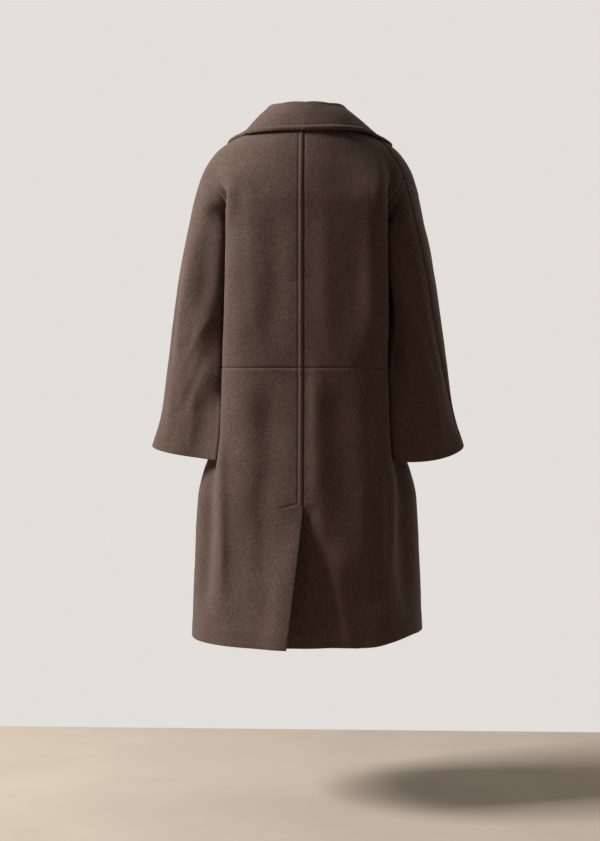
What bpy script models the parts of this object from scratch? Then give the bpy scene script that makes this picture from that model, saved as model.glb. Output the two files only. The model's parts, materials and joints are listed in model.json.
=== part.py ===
"""Double-breasted wool coat, in the hollow form it has when worn: one closed wall for each cut piece.

Metres. +X is the wearer's left, the front faces -Y, Z is up, and the origin is the middle of the neck base.
Every cut piece is a grid of points on the cloth's middle surface. Its rows are cut from level rings of the
body, the shoulders and the sleeves, so that neighbours share their seam points.
"""
import math

import bmesh
import bpy
import numpy as np
from mathutils import Vector

# Cloth and seams.
WALL = 0.0030
SEAM_GAP = 0.0003
SLEEVE_CLEARANCE = 0.0075
SLEEVE_DROP_WIDTH = 0.13

# Levels of the main lines.
HEM = -1.124
VENT_TOP = -0.819
WAIST = -0.534
BREAK_POINT = -0.360
UNDERARM = -0.330
SHOULDER_POINT = -0.127
VALLEY_TOP = -0.145
BACK_VALLEY_FOOT = -0.275
FRONT_VALLEY_FOOT = -0.345
CUFF = -0.708
NECK = 0.0
NECK_RISE = 0.012

# Fronts: how far each passes the centre, where the lapel's roll line ends, and the lift of the upper layer.
OVERLAP = 0.085
ROLL_TOP_X = 0.074
UPPER_LAYER_LIFT = 0.0110

# Lapels and collar lie this far out from the cloth below them.
LAPEL_LIFT = 0.0056
LAPEL_TIP = (0.176, -0.110)
LAPEL_BELLY = 0.020
LAPEL_START = 0.010
LAPEL_COLUMNS = 6
NOTCH_COLUMN = 3
SLEEVE_AXIS_X = 0.255

# The right side hangs a little unevenly: its hem rises at the side and its cuff sags at the back.
RIGHT_HEM_LIFT = 0.017
RIGHT_CUFF_SAG = 0.010

# Vent: how far the upper flap swings to the side and out, and the lower edge swings in, at the hem.
VENT_SWING = 0.034
VENT_FLAP_OUT = 0.006
VENT_SINK = 0.044
VENT_HEM_DROP = 0.006
VENT_REACH = 0.115
UNDERLAP_WIDTH = 0.050
UNDERLAP_DEPTH = 0.0050
UNDERLAP_TOP = -0.850

# Buttons.
BUTTON_RADIUS = 0.0140
BUTTON_THICKNESS = 0.0042
BUTTON_GAP = 0.0004
BUTTON_COLUMN_X = 0.058
BUTTON_LEVELS = (-0.392, -0.502, -0.612)

# Rows of points up the coat, and points along each row.
LOWER_LEVELS = (HEM, -1.060, -0.980, -0.910, UNDERLAP_TOP, VENT_TOP, -0.760, -0.710, -0.660, -0.600, WAIST)
SIDE_LEVELS = (WAIST, -0.490, -0.445, -0.400, BREAK_POINT, UNDERARM)
ARMHOLE_LEVELS = (UNDERARM, -0.300, -0.268, -0.238, -0.210, -0.186, -0.166, -0.150, -0.137, SHOULDER_POINT)
SHOULDER_LEVELS = (SHOULDER_POINT, -0.108, -0.086, -0.064, -0.042, -0.020, NECK)
TUBE_LEVELS = (UNDERARM, -0.345, -0.380, -0.430, -0.480, -0.534, -0.585, -0.630, -0.670, CUFF)
BACK_COLUMNS = 13
RIDGE_PLACE = 7 / 12
FRONT_COLUMNS = 13
SLEEVE_COLUMNS = 7
DENSE = 160


def table(names, *rows):
    """Columns of a small table, by name; the first column is the one it is looked up by."""
    order = sorted(rows)
    return dict(zip(names.split(), np.array(order, float).T))


# Level rings of the body below the armholes: the centre back and front, the side, and the pull of each curve.
BODY = table(
    "level back side side_y front back_pull side_pull chest_pull front_pull",
    (-1.124, 0.190, 0.2525, 0.000, -0.185, 0.175, 0.100, 0.100, 0.165),
    (-0.960, 0.178, 0.2465, 0.000, -0.175, 0.178, 0.090, 0.095, 0.160),
    (-0.819, 0.168, 0.2390, 0.000, -0.165, 0.182, 0.075, 0.090, 0.160),
    (-0.760, 0.163, 0.2260, -0.004, -0.160, 0.186, 0.070, 0.085, 0.160),
    (-0.700, 0.158, 0.2030, -0.006, -0.156, 0.186, 0.085, 0.085, 0.155),
    (-0.630, 0.153, 0.1870, -0.003, -0.153, 0.178, 0.108, 0.088, 0.150),
    (-0.534, 0.150, 0.1800, 0.000, -0.150, 0.172, 0.118, 0.092, 0.145),
    (-0.430, 0.150, 0.1750, 0.000, -0.148, 0.168, 0.120, 0.092, 0.140),
    (-0.330, 0.150, 0.1705, 0.000, -0.146, 0.163, 0.120, 0.092, 0.135),
    (-0.120, 0.145, 0.1620, 0.000, -0.112, 0.150, 0.115, 0.080, 0.115),
)

# Level rings round the body and both arms together, from the underarm up to the neck.
SHOULDER = table(
    "level back side side_y front back_pull side_pull chest_pull front_pull",
    (-0.330, 0.150, 0.2765, 0.010, -0.146, 0.165, 0.090, 0.085, 0.150),
    (-0.275, 0.150, 0.2665, 0.008, -0.140, 0.160, 0.088, 0.085, 0.145),
    (-0.187, 0.150, 0.2500, 0.003, -0.128, 0.150, 0.085, 0.080, 0.130),
    (-0.143, 0.1465, 0.2385, 0.000, -0.117, 0.142, 0.080, 0.075, 0.120),
    (-0.110, 0.1415, 0.2275, -0.003, -0.108, 0.132, 0.075, 0.070, 0.110),
    (-0.066, 0.129, 0.1990, -0.006, -0.094, 0.115, 0.066, 0.058, 0.100),
    (-0.044, 0.119, 0.1705, -0.007, -0.085, 0.100, 0.060, 0.052, 0.090),
    (-0.018, 0.102, 0.1240, -0.005, -0.073, 0.075, 0.052, 0.042, 0.070),
    (0.000, 0.086, 0.0880, -0.002, -0.060, 0.052, 0.045, 0.035, 0.050),
)

# Rings of the left sleeve. The inner side hangs lower than the outer side by the drop.
SLEEVE = table(
    "level outer outer_y inner inner_y back_pull inner_back_pull front_pull inner_front_pull drop",
    (-0.708, 0.3430, -0.014, 0.184, 0.085, 0.062, 0.036, 0.086, 0.195, 0.023),
    (-0.671, 0.3310, -0.013, 0.179, 0.083, 0.063, 0.038, 0.087, 0.192, 0.020),
    (-0.627, 0.3200, -0.012, 0.176, 0.079, 0.066, 0.042, 0.089, 0.186, 0.016),
    (-0.517, 0.3045, -0.005, 0.176, 0.062, 0.080, 0.058, 0.095, 0.160, 0.010),
    (-0.429, 0.2920, 0.003, 0.176, 0.034, 0.100, 0.086, 0.104, 0.106, 0.004),
    (-0.330, 0.2765, 0.010, 0.1705, 0.000, 0.124, 0.118, 0.112, 0.106, 0.000),
    (-0.120, 0.2350, 0.000, 0.1620, 0.000, 0.110, 0.105, 0.100, 0.095, 0.000),
)

# The over-arm seam runs this far behind the outermost line of the shoulder and sleeve. The coat sits a little
# turned on the wearer, so the left seam is further forward.
OVER_ARM = table(
    "level left right",
    (-0.708, 0.000, 0.000),
    (-0.600, 0.002, 0.014),
    (-0.500, 0.003, 0.034),
    (-0.376, 0.004, 0.060),
    (-0.280, 0.004, 0.078),
    (-0.127, 0.004, 0.071),
    (-0.080, 0.004, 0.068),
    (-0.056, 0.004, 0.060),
    (-0.018, 0.003, 0.038),
    (0.000, 0.000, 0.000),
)

# The armhole, as a distance along the level ring behind and in front of the over-arm seam.
ARMHOLE = table(
    "level left_behind left_ahead right_behind right_ahead",
    (-0.330, 0.168, 0.102, 0.110, 0.160),
    (-0.240, 0.157, 0.085, 0.092, 0.150),
    (-0.185, 0.141, 0.058, 0.058, 0.122),
    (-0.150, 0.096, 0.034, 0.024, 0.066),
    (-0.137, 0.046, 0.015, 0.010, 0.030),
    (-0.127, 0.000, 0.000, 0.000, 0.000),
)

# The ridge where the flat back turns to the side: how far out it stands at each level.
RIDGE = table(
    "level x",
    (-1.124, 0.180),
    (-0.900, 0.176),
    (-0.770, 0.174),
    (-0.660, 0.172),
    (-0.534, 0.168),
    (-0.330, 0.158),
    (-0.143, 0.157),
    (-0.110, 0.150),
    (-0.066, 0.125),
    (-0.044, 0.105),
    (-0.018, 0.072),
    (0.000, 0.048),
)

# Standing folds down the back: place along the half row, width, height, and the levels they run between.
BACK_FOLDS = table(
    "place width height top bottom",
    (0.583, 0.060, 0.0070, -0.14, -1.00),
    (0.740, 0.080, -0.0140, -0.50, -1.02),
    (0.780, 0.090, -0.0150, -0.10, -0.26),
    (0.380, 0.080, -0.0030, -0.16, -0.50),
)

# Collar sections from the centre back (0) to the front end (1): roll above the seam, outer edge, and its lie.
COLLAR = table(
    "along roll_out roll_up roll edge_x edge_y edge_z swell",
    (0.00, 0.0060, 0.0175, 0.0050, 0.000, 0.1235, -0.0335, 0.0060),
    (0.25, 0.0040, 0.0235, 0.0050, 0.062, 0.1165, -0.0330, 0.0060),
    (0.50, 0.0010, 0.0290, 0.0050, 0.125, 0.0800, -0.0330, 0.0050),
    (0.72, -0.002, 0.0230, 0.0048, 0.172, 0.0150, -0.0480, 0.0040),
    (1.00, 0.0000, 0.0120, 0.0040, 0.178, -0.0250, -0.0560, 0.0030),
)
COLLAR_COLUMNS = 13
TURN_POINTS = 4
COLLAR_TIP = (0.166, -0.052)
COLLAR_RIGHT_RISE = 0.032
COLLAR_LEFT_TUCK = 0.026
COLLAR_LEFT_RISE = 0.010
LAID_FROM = 0.66
SHOULDER_GAP = 0.0075
SHOULDER_SOFTNESS = 0.0030


def lookup(rows, column, at):
    """A table column at one place, on a smooth curve through its rows that never overshoots them."""
    keys = next(iter(rows.values()))
    values = rows[column]
    at = float(np.clip(at, keys[0], keys[-1]))
    step = np.diff(keys)
    slope = np.diff(values) / step
    bend = np.zeros(len(keys))
    bend[0], bend[-1] = slope[0], slope[-1]
    for i in range(1, len(keys) - 1):
        if slope[i - 1] * slope[i] > 0.0:
            bend[i] = 2.0 * slope[i - 1] * slope[i] / (slope[i - 1] + slope[i])
    i = min(int(np.searchsorted(keys, at, side="right")) - 1, len(keys) - 2)
    i = max(i, 0)
    t = (at - keys[i]) / step[i]
    start = (1 + 2 * t) * (1 - t) ** 2 * values[i] + t * (1 - t) ** 2 * step[i] * bend[i]
    end = t * t * (3 - 2 * t) * values[i + 1] + t * t * (t - 1) * step[i] * bend[i + 1]
    return start + end


def ease(value, low, high):
    """Soft step from 0 at low to 1 at high."""
    t = np.clip((value - low) / (high - low), 0.0, 1.0)
    return t * t * (3.0 - 2.0 * t)


def bezier(start, start_pull, end_pull, end, count=DENSE):
    """Points along one cubic curve."""
    t = np.linspace(0.0, 1.0, count)[:, None]
    start, start_pull, end_pull, end = (np.array(p, float) for p in (start, start_pull, end_pull, end))
    return (1 - t) ** 3 * start + 3 * (1 - t) ** 2 * t * start_pull + 3 * (1 - t) * t * t * end_pull + t**3 * end


def lengths(points):
    """Distance run along a line of points."""
    return np.concatenate([[0.0], np.cumsum(np.linalg.norm(np.diff(points, axis=0), axis=1))])


def at_distance(points, distance):
    """Points at given distances along a line."""
    run = lengths(points)
    return np.stack([np.interp(distance, run, points[:, k]) for k in range(points.shape[1])], axis=-1)


def spread(points, count):
    """The same line with evenly spread points."""
    return at_distance(points, np.linspace(0.0, lengths(points)[-1], count))


def between(points, start, end):
    """The part of a line between two distances along it."""
    return at_distance(points, np.linspace(start, end, DENSE))


def ring(rows, level):
    """Half of a level ring: the back curve from the centre back to the side, and the front curve on from it."""
    back, side, side_y, front, back_pull, side_pull, chest_pull, front_pull = (
        lookup(rows, name, level) for name in list(rows)[1:]
    )
    behind = bezier((0.0, back), (back_pull, back), (side, side_y + side_pull), (side, side_y))
    ahead = bezier((side, side_y), (side, side_y - chest_pull), (front_pull, front), (0.0, front))
    return behind, ahead


def sleeve_ring(level):
    """A ring of the left sleeve: the back curve from the outer to the inner side, and the front curve."""
    outer, outer_y, inner, inner_y, back_pull, inner_back, front_pull, inner_front, _ = (
        lookup(SLEEVE, name, level) for name in list(SLEEVE)[1:]
    )
    behind = bezier((outer, outer_y), (outer, outer_y + back_pull), (inner, inner_y + inner_back), (inner, inner_y))
    ahead = bezier((outer, outer_y), (outer, outer_y - front_pull), (inner, inner_y - inner_front), (inner, inner_y))
    return behind, ahead


def distance_at_x(points, x):
    """How far along a line whose x only grows or only falls it meets a given x."""
    run = lengths(points)
    if points[-1, 0] < points[0, 0]:
        return float(np.interp(-x, -points[:, 0], run))
    return float(np.interp(x, points[:, 0], run))


def side(right):
    """The side's name in the tables."""
    return "right" if right else "left"


def whole_shoulder(level, right):
    """The shoulder ring from the centre back to the centre front, and where the over-arm seam crosses it."""
    behind, ahead = ring(SHOULDER, level)
    seam = lengths(behind)[-1] - lookup(OVER_ARM, side(right), level)
    return np.vstack([behind, ahead[1:]]), seam


def parting(level, foot):
    """0 where body and sleeve are one smooth shoulder, 1 where they are two separate rings."""
    return 1.0 - float(ease(level, foot, VALLEY_TOP))


def blended(upper, lower, share):
    """A row that turns from the shoulder's line into the separate ring's line, by a share for each point."""
    share = np.broadcast_to(share, len(upper))[:, None]
    return (1.0 - share) * upper + share * lower


def ridge_spread(line, level, count):
    """Points of a back line, evenly spread to the ridge and evenly beyond it."""
    ridge = distance_at_x(line, lookup(RIDGE, "x", level))
    place = np.linspace(0.0, 1.0, count)
    return at_distance(line, np.interp(place, (0.0, RIDGE_PLACE, 1.0), (0.0, ridge, lengths(line)[-1])))


def back_line(level, right, count):
    """Half of a back row, from the centre to its seam."""
    lower = ridge_spread(ring(BODY, level)[0], level, count)
    if level <= UNDERARM:
        return lower
    contour, seam = whole_shoulder(level, right)
    reach = lookup(ARMHOLE, side(right) + "_behind", level) if level < SHOULDER_POINT else 0.0
    upper = ridge_spread(between(contour, 0.0, seam - reach), level, count)
    return blended(upper, lower, parting(level, BACK_VALLEY_FOOT))


def front_edge_x(level):
    """Where a front ends: its straight edge below the break point, its roll line above."""
    share = np.clip((level - BREAK_POINT) / (NECK - BREAK_POINT), 0.0, 1.0)
    return -OVERLAP + share * (ROLL_TOP_X + OVERLAP)


def both_sides(line):
    """A front line carried on past the centre front to beyond the other front's edge."""
    mirrored = line[::-1] * np.array([-1.0, 1.0])
    whole = np.vstack([line, mirrored[1:]])
    return between(whole, 0.0, distance_on_front(whole, -OVERLAP - 0.02))


def distance_on_front(line, x):
    """How far along a front line, past its outermost point, it meets an x."""
    widest = int(np.argmax(line[:, 0]))
    return lengths(line)[widest] + distance_at_x(line[widest:], x)


def front_line(level, right, count, edge_x):
    """A front row, from its seam to a given x at the front."""
    lower = both_sides(ring(BODY, level)[1])
    if level > UNDERARM:
        contour, seam = whole_shoulder(level, right)
        reach = lookup(ARMHOLE, side(right) + "_ahead", level) if level < SHOULDER_POINT else 0.0
        upper = both_sides(between(contour, seam + reach, lengths(contour)[-1]))
        share = parting(level, FRONT_VALLEY_FOOT)
        lower = blended(spread(upper, 2 * DENSE), spread(lower, 2 * DENSE), share)
    return spread(between(lower, 0.0, distance_on_front(lower, edge_x)), count)


def sleeve_line(level, right, count, behind):
    """Half of a sleeve row, from the over-arm seam to the armhole or the underarm seam."""
    back, front = sleeve_ring(level)
    start = lookup(OVER_ARM, side(right), level)
    half = between(back, start, lengths(back)[-1])
    if not behind:
        half = np.vstack([between(back, 0.0, start)[::-1], front[1:]])
    if level <= UNDERARM:
        return spread(half, count)
    contour, seam = whole_shoulder(level, right)
    share = np.full(count, parting(level, BACK_VALLEY_FOOT))
    if behind:
        upper = between(contour, seam, seam - lookup(ARMHOLE, side(right) + "_behind", level))
    else:
        upper = between(contour, seam, seam + lookup(ARMHOLE, side(right) + "_ahead", level))
        share += (parting(level, FRONT_VALLEY_FOOT) - share) * ease(np.linspace(0.0, 1.0, count), 0.0, 0.7)
    return blended(spread(upper, count), spread(half, count), share)


def outward(line, turn):
    """Unit directions square to a level line, to the side that turn says."""
    along = np.gradient(line, axis=0)
    side = np.stack([along[:, 1], -along[:, 0]], axis=-1) * turn
    return side / np.maximum(np.linalg.norm(side, axis=1, keepdims=True), 1e-9)


def hem_lift(level, right, from_side):
    """How far the right side's cloth is drawn up, by the share of the way from its side seam."""
    if not right:
        return np.zeros_like(from_side)
    depth = np.clip((VENT_TOP - level) / (VENT_TOP - HEM), 0.0, 1.0)
    return RIGHT_HEM_LIFT * depth**2 * (1.0 - ease(from_side, 0.2, 0.55))


def back_row(level, right, count=BACK_COLUMNS):
    """Points of a back row, made on the left, with its standing folds."""
    line = back_line(level, right, count)
    place = np.linspace(0.0, 1.0, count)
    push = np.zeros(count)
    for i in range(len(BACK_FOLDS["place"])):
        fold = {name: values[i] for name, values in BACK_FOLDS.items()}
        rise = ease(level, fold["top"] + 0.05, fold["top"] - 0.10)
        fall = ease(level, fold["bottom"] - 0.10, fold["bottom"] + 0.10)
        push += fold["height"] * rise * fall * np.exp(-(((place - fold["place"]) / fold["width"]) ** 2))
    push *= ease(place, 0.0, 0.1) * ease(1.0 - place, 0.0, 0.1)
    line = line + outward(line, -1.0) * push[:, None]
    height = level + NECK_RISE * ease(level, -0.10, NECK) * (1.0 - place**2) ** 2
    return np.column_stack([line, height + hem_lift(level, right, 1.0 - place)])


def layer_lift(x, level, right):
    """How far the right front stands out where it lies over the left one."""
    if not right:
        return np.zeros_like(x)
    return UPPER_LAYER_LIFT * ease(-x, -0.165, -0.095) * ease(-level, 0.06, 0.15)


def front_row(level, right, count=FRONT_COLUMNS, edge_x=None):
    """Points of a front row, made on the left."""
    line = front_line(level, right, count, front_edge_x(level) if edge_x is None else edge_x)
    line[:, 1] -= layer_lift(line[:, 0], level, right)
    return np.column_stack([line, level + hem_lift(level, right, np.linspace(0.0, 1.0, count))])


def front_y(x, level, right):
    """How far forward the front's cloth is at a place on it."""
    line = front_row(level, right, DENSE, -OVERLAP - 0.02)
    flat = line[np.argmax(line[:, 0]):]
    return np.interp(-x, -flat[:, 0], flat[:, 1])


def body_side_x(y, level, right):
    """How far out the body's wall is beside the sleeve, at a distance to the back."""
    line = np.vstack([back_row(level, right), front_row(level, right, edge_x=0.0)])
    order = np.argsort(line[:, 1])
    return np.interp(y, line[order, 1], line[order, 0])


def sleeve_row(level, right, behind, count=SLEEVE_COLUMNS):
    """Points of a row of a sleeve half, made on the left and kept clear of the body's side."""
    line = sleeve_line(level, right, count, behind)
    share = np.clip((lookup(SLEEVE, "outer", level) - line[:, 0]) / SLEEVE_DROP_WIDTH, 0.0, 1.2) ** 0.6
    height = level - lookup(SLEEVE, "drop", level) * share
    if right and behind:
        height -= RIGHT_CUFF_SAG * ease(-level, 0.56, -CUFF) * np.sin(np.pi * np.linspace(0.0, 1.0, count))
    from_seam = lengths(line)[-1] - lengths(line)
    for i in range(count):
        clear = SLEEVE_CLEARANCE
        if level >= UNDERARM:
            clear *= ease(from_seam[i], 0.0, 0.020) * ease(SHOULDER_POINT - level, 0.010, 0.045)
        if level < SHOULDER_POINT:
            line[i, 0] = max(line[i, 0], body_side_x(line[i, 1], height[i], right) + clear)
    return np.column_stack([line, height])


def vent_share(level):
    """How far open the vent is at a level."""
    return max(0.0, (VENT_TOP - level) / (VENT_TOP - HEM)) ** 1.15


def lower_back_row(level, right):
    """A row of a lower back piece, with its centre edge swung at the vent."""
    points = back_row(level, right)
    share = vent_share(level)
    near = ease(-points[:, 0], -VENT_REACH * (0.3 + 0.7 * share), 0.0)
    if right:
        step_in = UNDERLAP_DEPTH * ease(-level, -VENT_TOP, -UNDERLAP_TOP)
        points[:, 1] -= (step_in + VENT_SINK * share) * near
        points[:, 2] -= VENT_HEM_DROP * share**2 * near
    else:
        points[:, 0] += VENT_SWING * near * share
        points[:, 1] += VENT_FLAP_OUT * near * share
    return points


def underlap_rows():
    """The strip behind the vent flap, carried on from the right lower back's centre edge to the left."""
    rows = []
    for level in [v for v in LOWER_LEVELS if v <= UNDERLAP_TOP]:
        edge = lower_back_row(level, right=True)[0]
        across = np.linspace(0.0, UNDERLAP_WIDTH, 5)
        rows.append(np.column_stack([across, np.full(5, edge[1]), np.full(5, edge[2])]))
    return np.array(rows)


def mirror(points):
    """The same points on the other side of the coat."""
    return points * np.array([-1.0, 1.0, 1.0])


def on_front(x, level, out, right):
    """A point moved out square from the front's cloth."""
    step = 0.004
    here = front_y(x, level, right)
    across = (front_y(x + step, level, right) - front_y(x - step, level, right)) / (2.0 * step)
    upward = (front_y(x, level + step, right) - front_y(x, level - step, right)) / (2.0 * step)
    facing = np.array([across, -1.0, upward])
    return np.array([x, here, level]) + facing / np.linalg.norm(facing) * out


def turned_row(roll, path, right):
    """Cloth that turns round a roll line and lies back on the front, along a path of x and z."""
    turn = np.radians(np.linspace(-90.0, 66.0, TURN_POINTS))
    radius = LAPEL_LIFT / 2.0
    way = (path[0] - roll) / np.linalg.norm(path[0] - roll)
    flat = [roll - way * radius * math.cos(a) for a in turn] + list(path)
    lift = [radius + radius * math.sin(a) for a in turn] + [LAPEL_LIFT] * len(path)
    return np.array([on_front(x, z, out, right) for (x, z), out in zip(flat, lift)])


def lapel_row(level, right):
    """One row of a lapel, made on the left, from the roll line to the outer edge."""
    share = (level - BREAK_POINT) / (NECK - BREAK_POINT)
    tip = np.array(LAPEL_TIP)
    start = np.array([LAPEL_START - OVERLAP, BREAK_POINT])
    roll = np.array([front_edge_x(level), level])
    belly = LAPEL_BELLY * math.sin(math.pi * share) * share
    edge = start + (tip - start) * share + np.array([0.80, -0.60]) * belly
    path = [roll + (edge - roll) * (k + 1) / LAPEL_COLUMNS for k in range(LAPEL_COLUMNS)]
    row = turned_row(roll, path, right)
    row[0] = front_row(level, right)[-1]
    return row


def neck_seam(right):
    """Half of the neckline: the back's top row, then the front's top row to the roll line."""
    return np.vstack([back_row(NECK, right), front_row(NECK, right)[1:]])


def outside_shoulder(point):
    """A collar point, made on the left, moved out from the shoulder below it, where it is too near."""
    if point[2] > NECK:
        return point
    contour, _ = whole_shoulder(point[2], False)
    middle_y = 0.01
    angle = np.arctan2(contour[:, 0], contour[:, 1] - middle_y)
    own = math.atan2(point[0], point[1] - middle_y)
    reach = np.interp(own, angle, np.hypot(contour[:, 0], contour[:, 1] - middle_y)) + SHOULDER_GAP
    here = math.hypot(point[0], point[1] - middle_y)
    push = SHOULDER_SOFTNESS * math.log1p(math.exp(min((reach - here) / SHOULDER_SOFTNESS, 50.0)))
    share = 1.0 + push / here
    return np.array([point[0] * share, middle_y + (point[1] - middle_y) * share, point[2]])


def standing_section(seam, along, right):
    """A collar section with stand, roll and fall, from the neck seam to the outer edge."""
    roll_out, roll_up, roll, edge_x, edge_y, edge_z, swell = (
        lookup(COLLAR, name, along) for name in list(COLLAR)[1:]
    )
    tuck = 0.0 if right else float(ease(along, 0.46, 0.72))
    edge = np.array([edge_x - COLLAR_LEFT_TUCK * tuck, edge_y, edge_z + COLLAR_LEFT_RISE * tuck])
    out = np.array([edge[0] - seam[0], edge[1] - seam[1], 0.0])
    out /= np.linalg.norm(out)
    up = np.array([0.0, 0.0, 1.0])
    top = seam + out * roll_out + up * roll_up
    inner = top - (out + 0.7 * up) * roll
    outer = top + (out - 0.7 * up) * roll
    middle = 0.5 * (outer + edge) + (0.6 * out + 0.8 * up) * swell
    stand = bezier(seam, seam + (inner - seam) * 0.4, inner - up * 0.001, inner, 12)
    over = bezier(inner, inner + up * roll, outer + up * roll, outer, 16)
    fall = bezier(outer, outer + (middle - outer) * 0.6, middle, edge, 24)
    return spread(np.vstack([stand, over[1:], fall[1:]]), COLLAR_COLUMNS)


def gorge_section(right):
    """The collar's front end: it shares the lapel's top row up to the notch, then turns to the collar's tip."""
    shared = lapel_row(NECK, right)[: TURN_POINTS + NOTCH_COLUMN]
    steps = COLLAR_COLUMNS - len(shared)
    notch = shared[-1, [0, 2]]
    path = [notch + (np.array(COLLAR_TIP) - notch) * k / steps for k in range(1, steps + 1)]
    return np.vstack([shared, [on_front(x, z, LAPEL_LIFT, right) for x, z in path]])


def collar_section(seam, along, front_end, right):
    """One collar section: standing at the back, laid flat on the front at the end."""
    share = np.linspace(0.0, 1.0, COLLAR_COLUMNS)[:, None]
    laid = front_end + (seam - front_end[0]) * (1.0 - share)
    flat = max(0.0, (along - LAID_FROM) / (1.0 - LAID_FROM)) ** 1.3
    section = (1.0 - flat) * standing_section(seam, along, right) + flat * laid
    notch = TURN_POINTS + NOTCH_COLUMN - 1
    for i in range(TURN_POINTS, COLLAR_COLUMNS):
        held = flat**6 * (1.0 - ease(i, notch, notch + 3))
        section[i] += (outside_shoulder(section[i]) - section[i]) * (1.0 - held)
    return section


def collar_half(right):
    """The sections of half the collar, made on the left, from the centre back to the front end."""
    seam = neck_seam(right)
    run = lengths(seam)
    front_end = gorge_section(right)
    return np.array([collar_section(p, d / run[-1], front_end, right) for p, d in zip(seam, run)])


def collar_rows():
    """All collar sections, from the right front end round the back to the left front end."""
    whole = np.concatenate([mirror(collar_half(True)[:0:-1]), collar_half(False)])
    along = np.abs(np.linspace(-1.0, 1.0, len(whole)))[:, None]
    out = ease(np.linspace(0.0, 1.0, COLLAR_COLUMNS), 0.3, 0.8)
    whole[:, :, 2] += COLLAR_RIGHT_RISE * np.maximum(-whole[:, :, 0], 0.0) * out * (1.0 - ease(along, 0.35, 0.65))
    return whole


def cloth_grids():
    """Every cloth piece by name: its grid of middle-surface points."""
    upper = SIDE_LEVELS + ARMHOLE_LEVELS[1:] + SHOULDER_LEVELS[1:]
    sleeve = ARMHOLE_LEVELS[:0:-1] + TUBE_LEVELS
    lapel = [v for v in upper if v >= BREAK_POINT]
    return {
        "back_upper_left": np.array([back_row(v, False) for v in upper]),
        "back_upper_right": mirror(np.array([back_row(v, True) for v in upper])),
        "back_lower_left": np.array([lower_back_row(v, False) for v in LOWER_LEVELS]),
        "back_lower_right": mirror(np.array([lower_back_row(v, True) for v in LOWER_LEVELS])),
        "vent_underlap": underlap_rows(),
        "front_upper_left": np.array([front_row(v, False) for v in upper]),
        "front_upper_right": mirror(np.array([front_row(v, True) for v in upper])),
        "front_lower_left": np.array([front_row(v, False) for v in LOWER_LEVELS]),
        "front_lower_right": mirror(np.array([front_row(v, True) for v in LOWER_LEVELS])),
        "sleeve_back_left": np.array([sleeve_row(v, False, True) for v in sleeve]),
        "sleeve_back_right": mirror(np.array([sleeve_row(v, True, True) for v in sleeve])),
        "sleeve_front_left": np.array([sleeve_row(v, False, False) for v in sleeve]),
        "sleeve_front_right": mirror(np.array([sleeve_row(v, True, False) for v in sleeve])),
        "collar": collar_rows(),
        "lapel_left": np.array([lapel_row(v, False) for v in lapel]),
        "lapel_right": mirror(np.array([lapel_row(v, True) for v in lapel])),
    }


def grid_normals(name, grid):
    """Unit normals of a piece's points, to the outside of the tube it belongs to."""
    normal = np.cross(np.gradient(grid, axis=1), np.gradient(grid, axis=0))
    normal /= np.maximum(np.linalg.norm(normal, axis=2, keepdims=True), 1e-12)
    axis_x = 0.0
    if name.startswith("sleeve"):
        axis_x = math.copysign(SLEEVE_AXIS_X, grid[0, 0, 0])
    away = (grid - np.array([axis_x, 0.0, 0.0])) * np.array([1.0, 1.0, 0.0])
    shown = np.sum(normal * away, axis=2)
    if name == "collar" or name.startswith("lapel"):
        shown = shown[:, 0]
    return normal if shown.sum() > 0.0 else -normal


def place_key(point):
    """A place rounded so that two pieces' shared seam points meet."""
    return tuple(np.round(point, 5) + 0.0)


def seam_normals(grids):
    """Normals of every piece, made one where pieces meet smoothly, and how far each backs off where they face."""
    own = {name: grid_normals(name, grid) for name, grid in grids.items()}
    met = {}
    for name, grid in grids.items():
        for i, j in np.ndindex(grid.shape[:2]):
            met.setdefault(place_key(grid[i, j]), []).append((name, own[name][i, j]))
    normals = {name: normal.copy() for name, normal in own.items()}
    back_off = {name: np.zeros(grid.shape[:2]) for name, grid in grids.items()}
    for name, grid in grids.items():
        for i, j in np.ndindex(grid.shape[:2]):
            total = own[name][i, j].copy()
            for other, normal in met[place_key(grid[i, j])]:
                if other == name:
                    continue
                alike = np.dot(own[name][i, j], normal)
                total += ease(alike, -0.97, -0.90) * normal
                back_off[name][i, j] = max(back_off[name][i, j], 1.0 - ease(alike, -0.8, -0.2))
            normals[name][i, j] = total / max(np.linalg.norm(total), 1e-9)
    return normals, back_off


def inset(grid, normals, back_off):
    """A piece drawn in by half the seam gap along all its edges, and back where it faces its neighbour."""
    moved = grid - normals * back_off[:, :, None] * (WALL + SEAM_GAP) / 2.0
    last_row, last_column = grid.shape[0] - 1, grid.shape[1] - 1
    for i, j in np.ndindex(grid.shape[:2]):
        inward = []
        if i in (0, last_row):
            inward.append(grid[1 if i == 0 else last_row - 1, j] - grid[i, j])
        if j in (0, last_column):
            inward.append(grid[i, 1 if j == 0 else last_column - 1] - grid[i, j])
        for way in inward:
            way = way - normals[i, j] * np.dot(way, normals[i, j])
            size = np.linalg.norm(way)
            if size > 1e-6:
                moved[i, j] += way / size * SEAM_GAP / 2.0
    return moved


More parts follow.
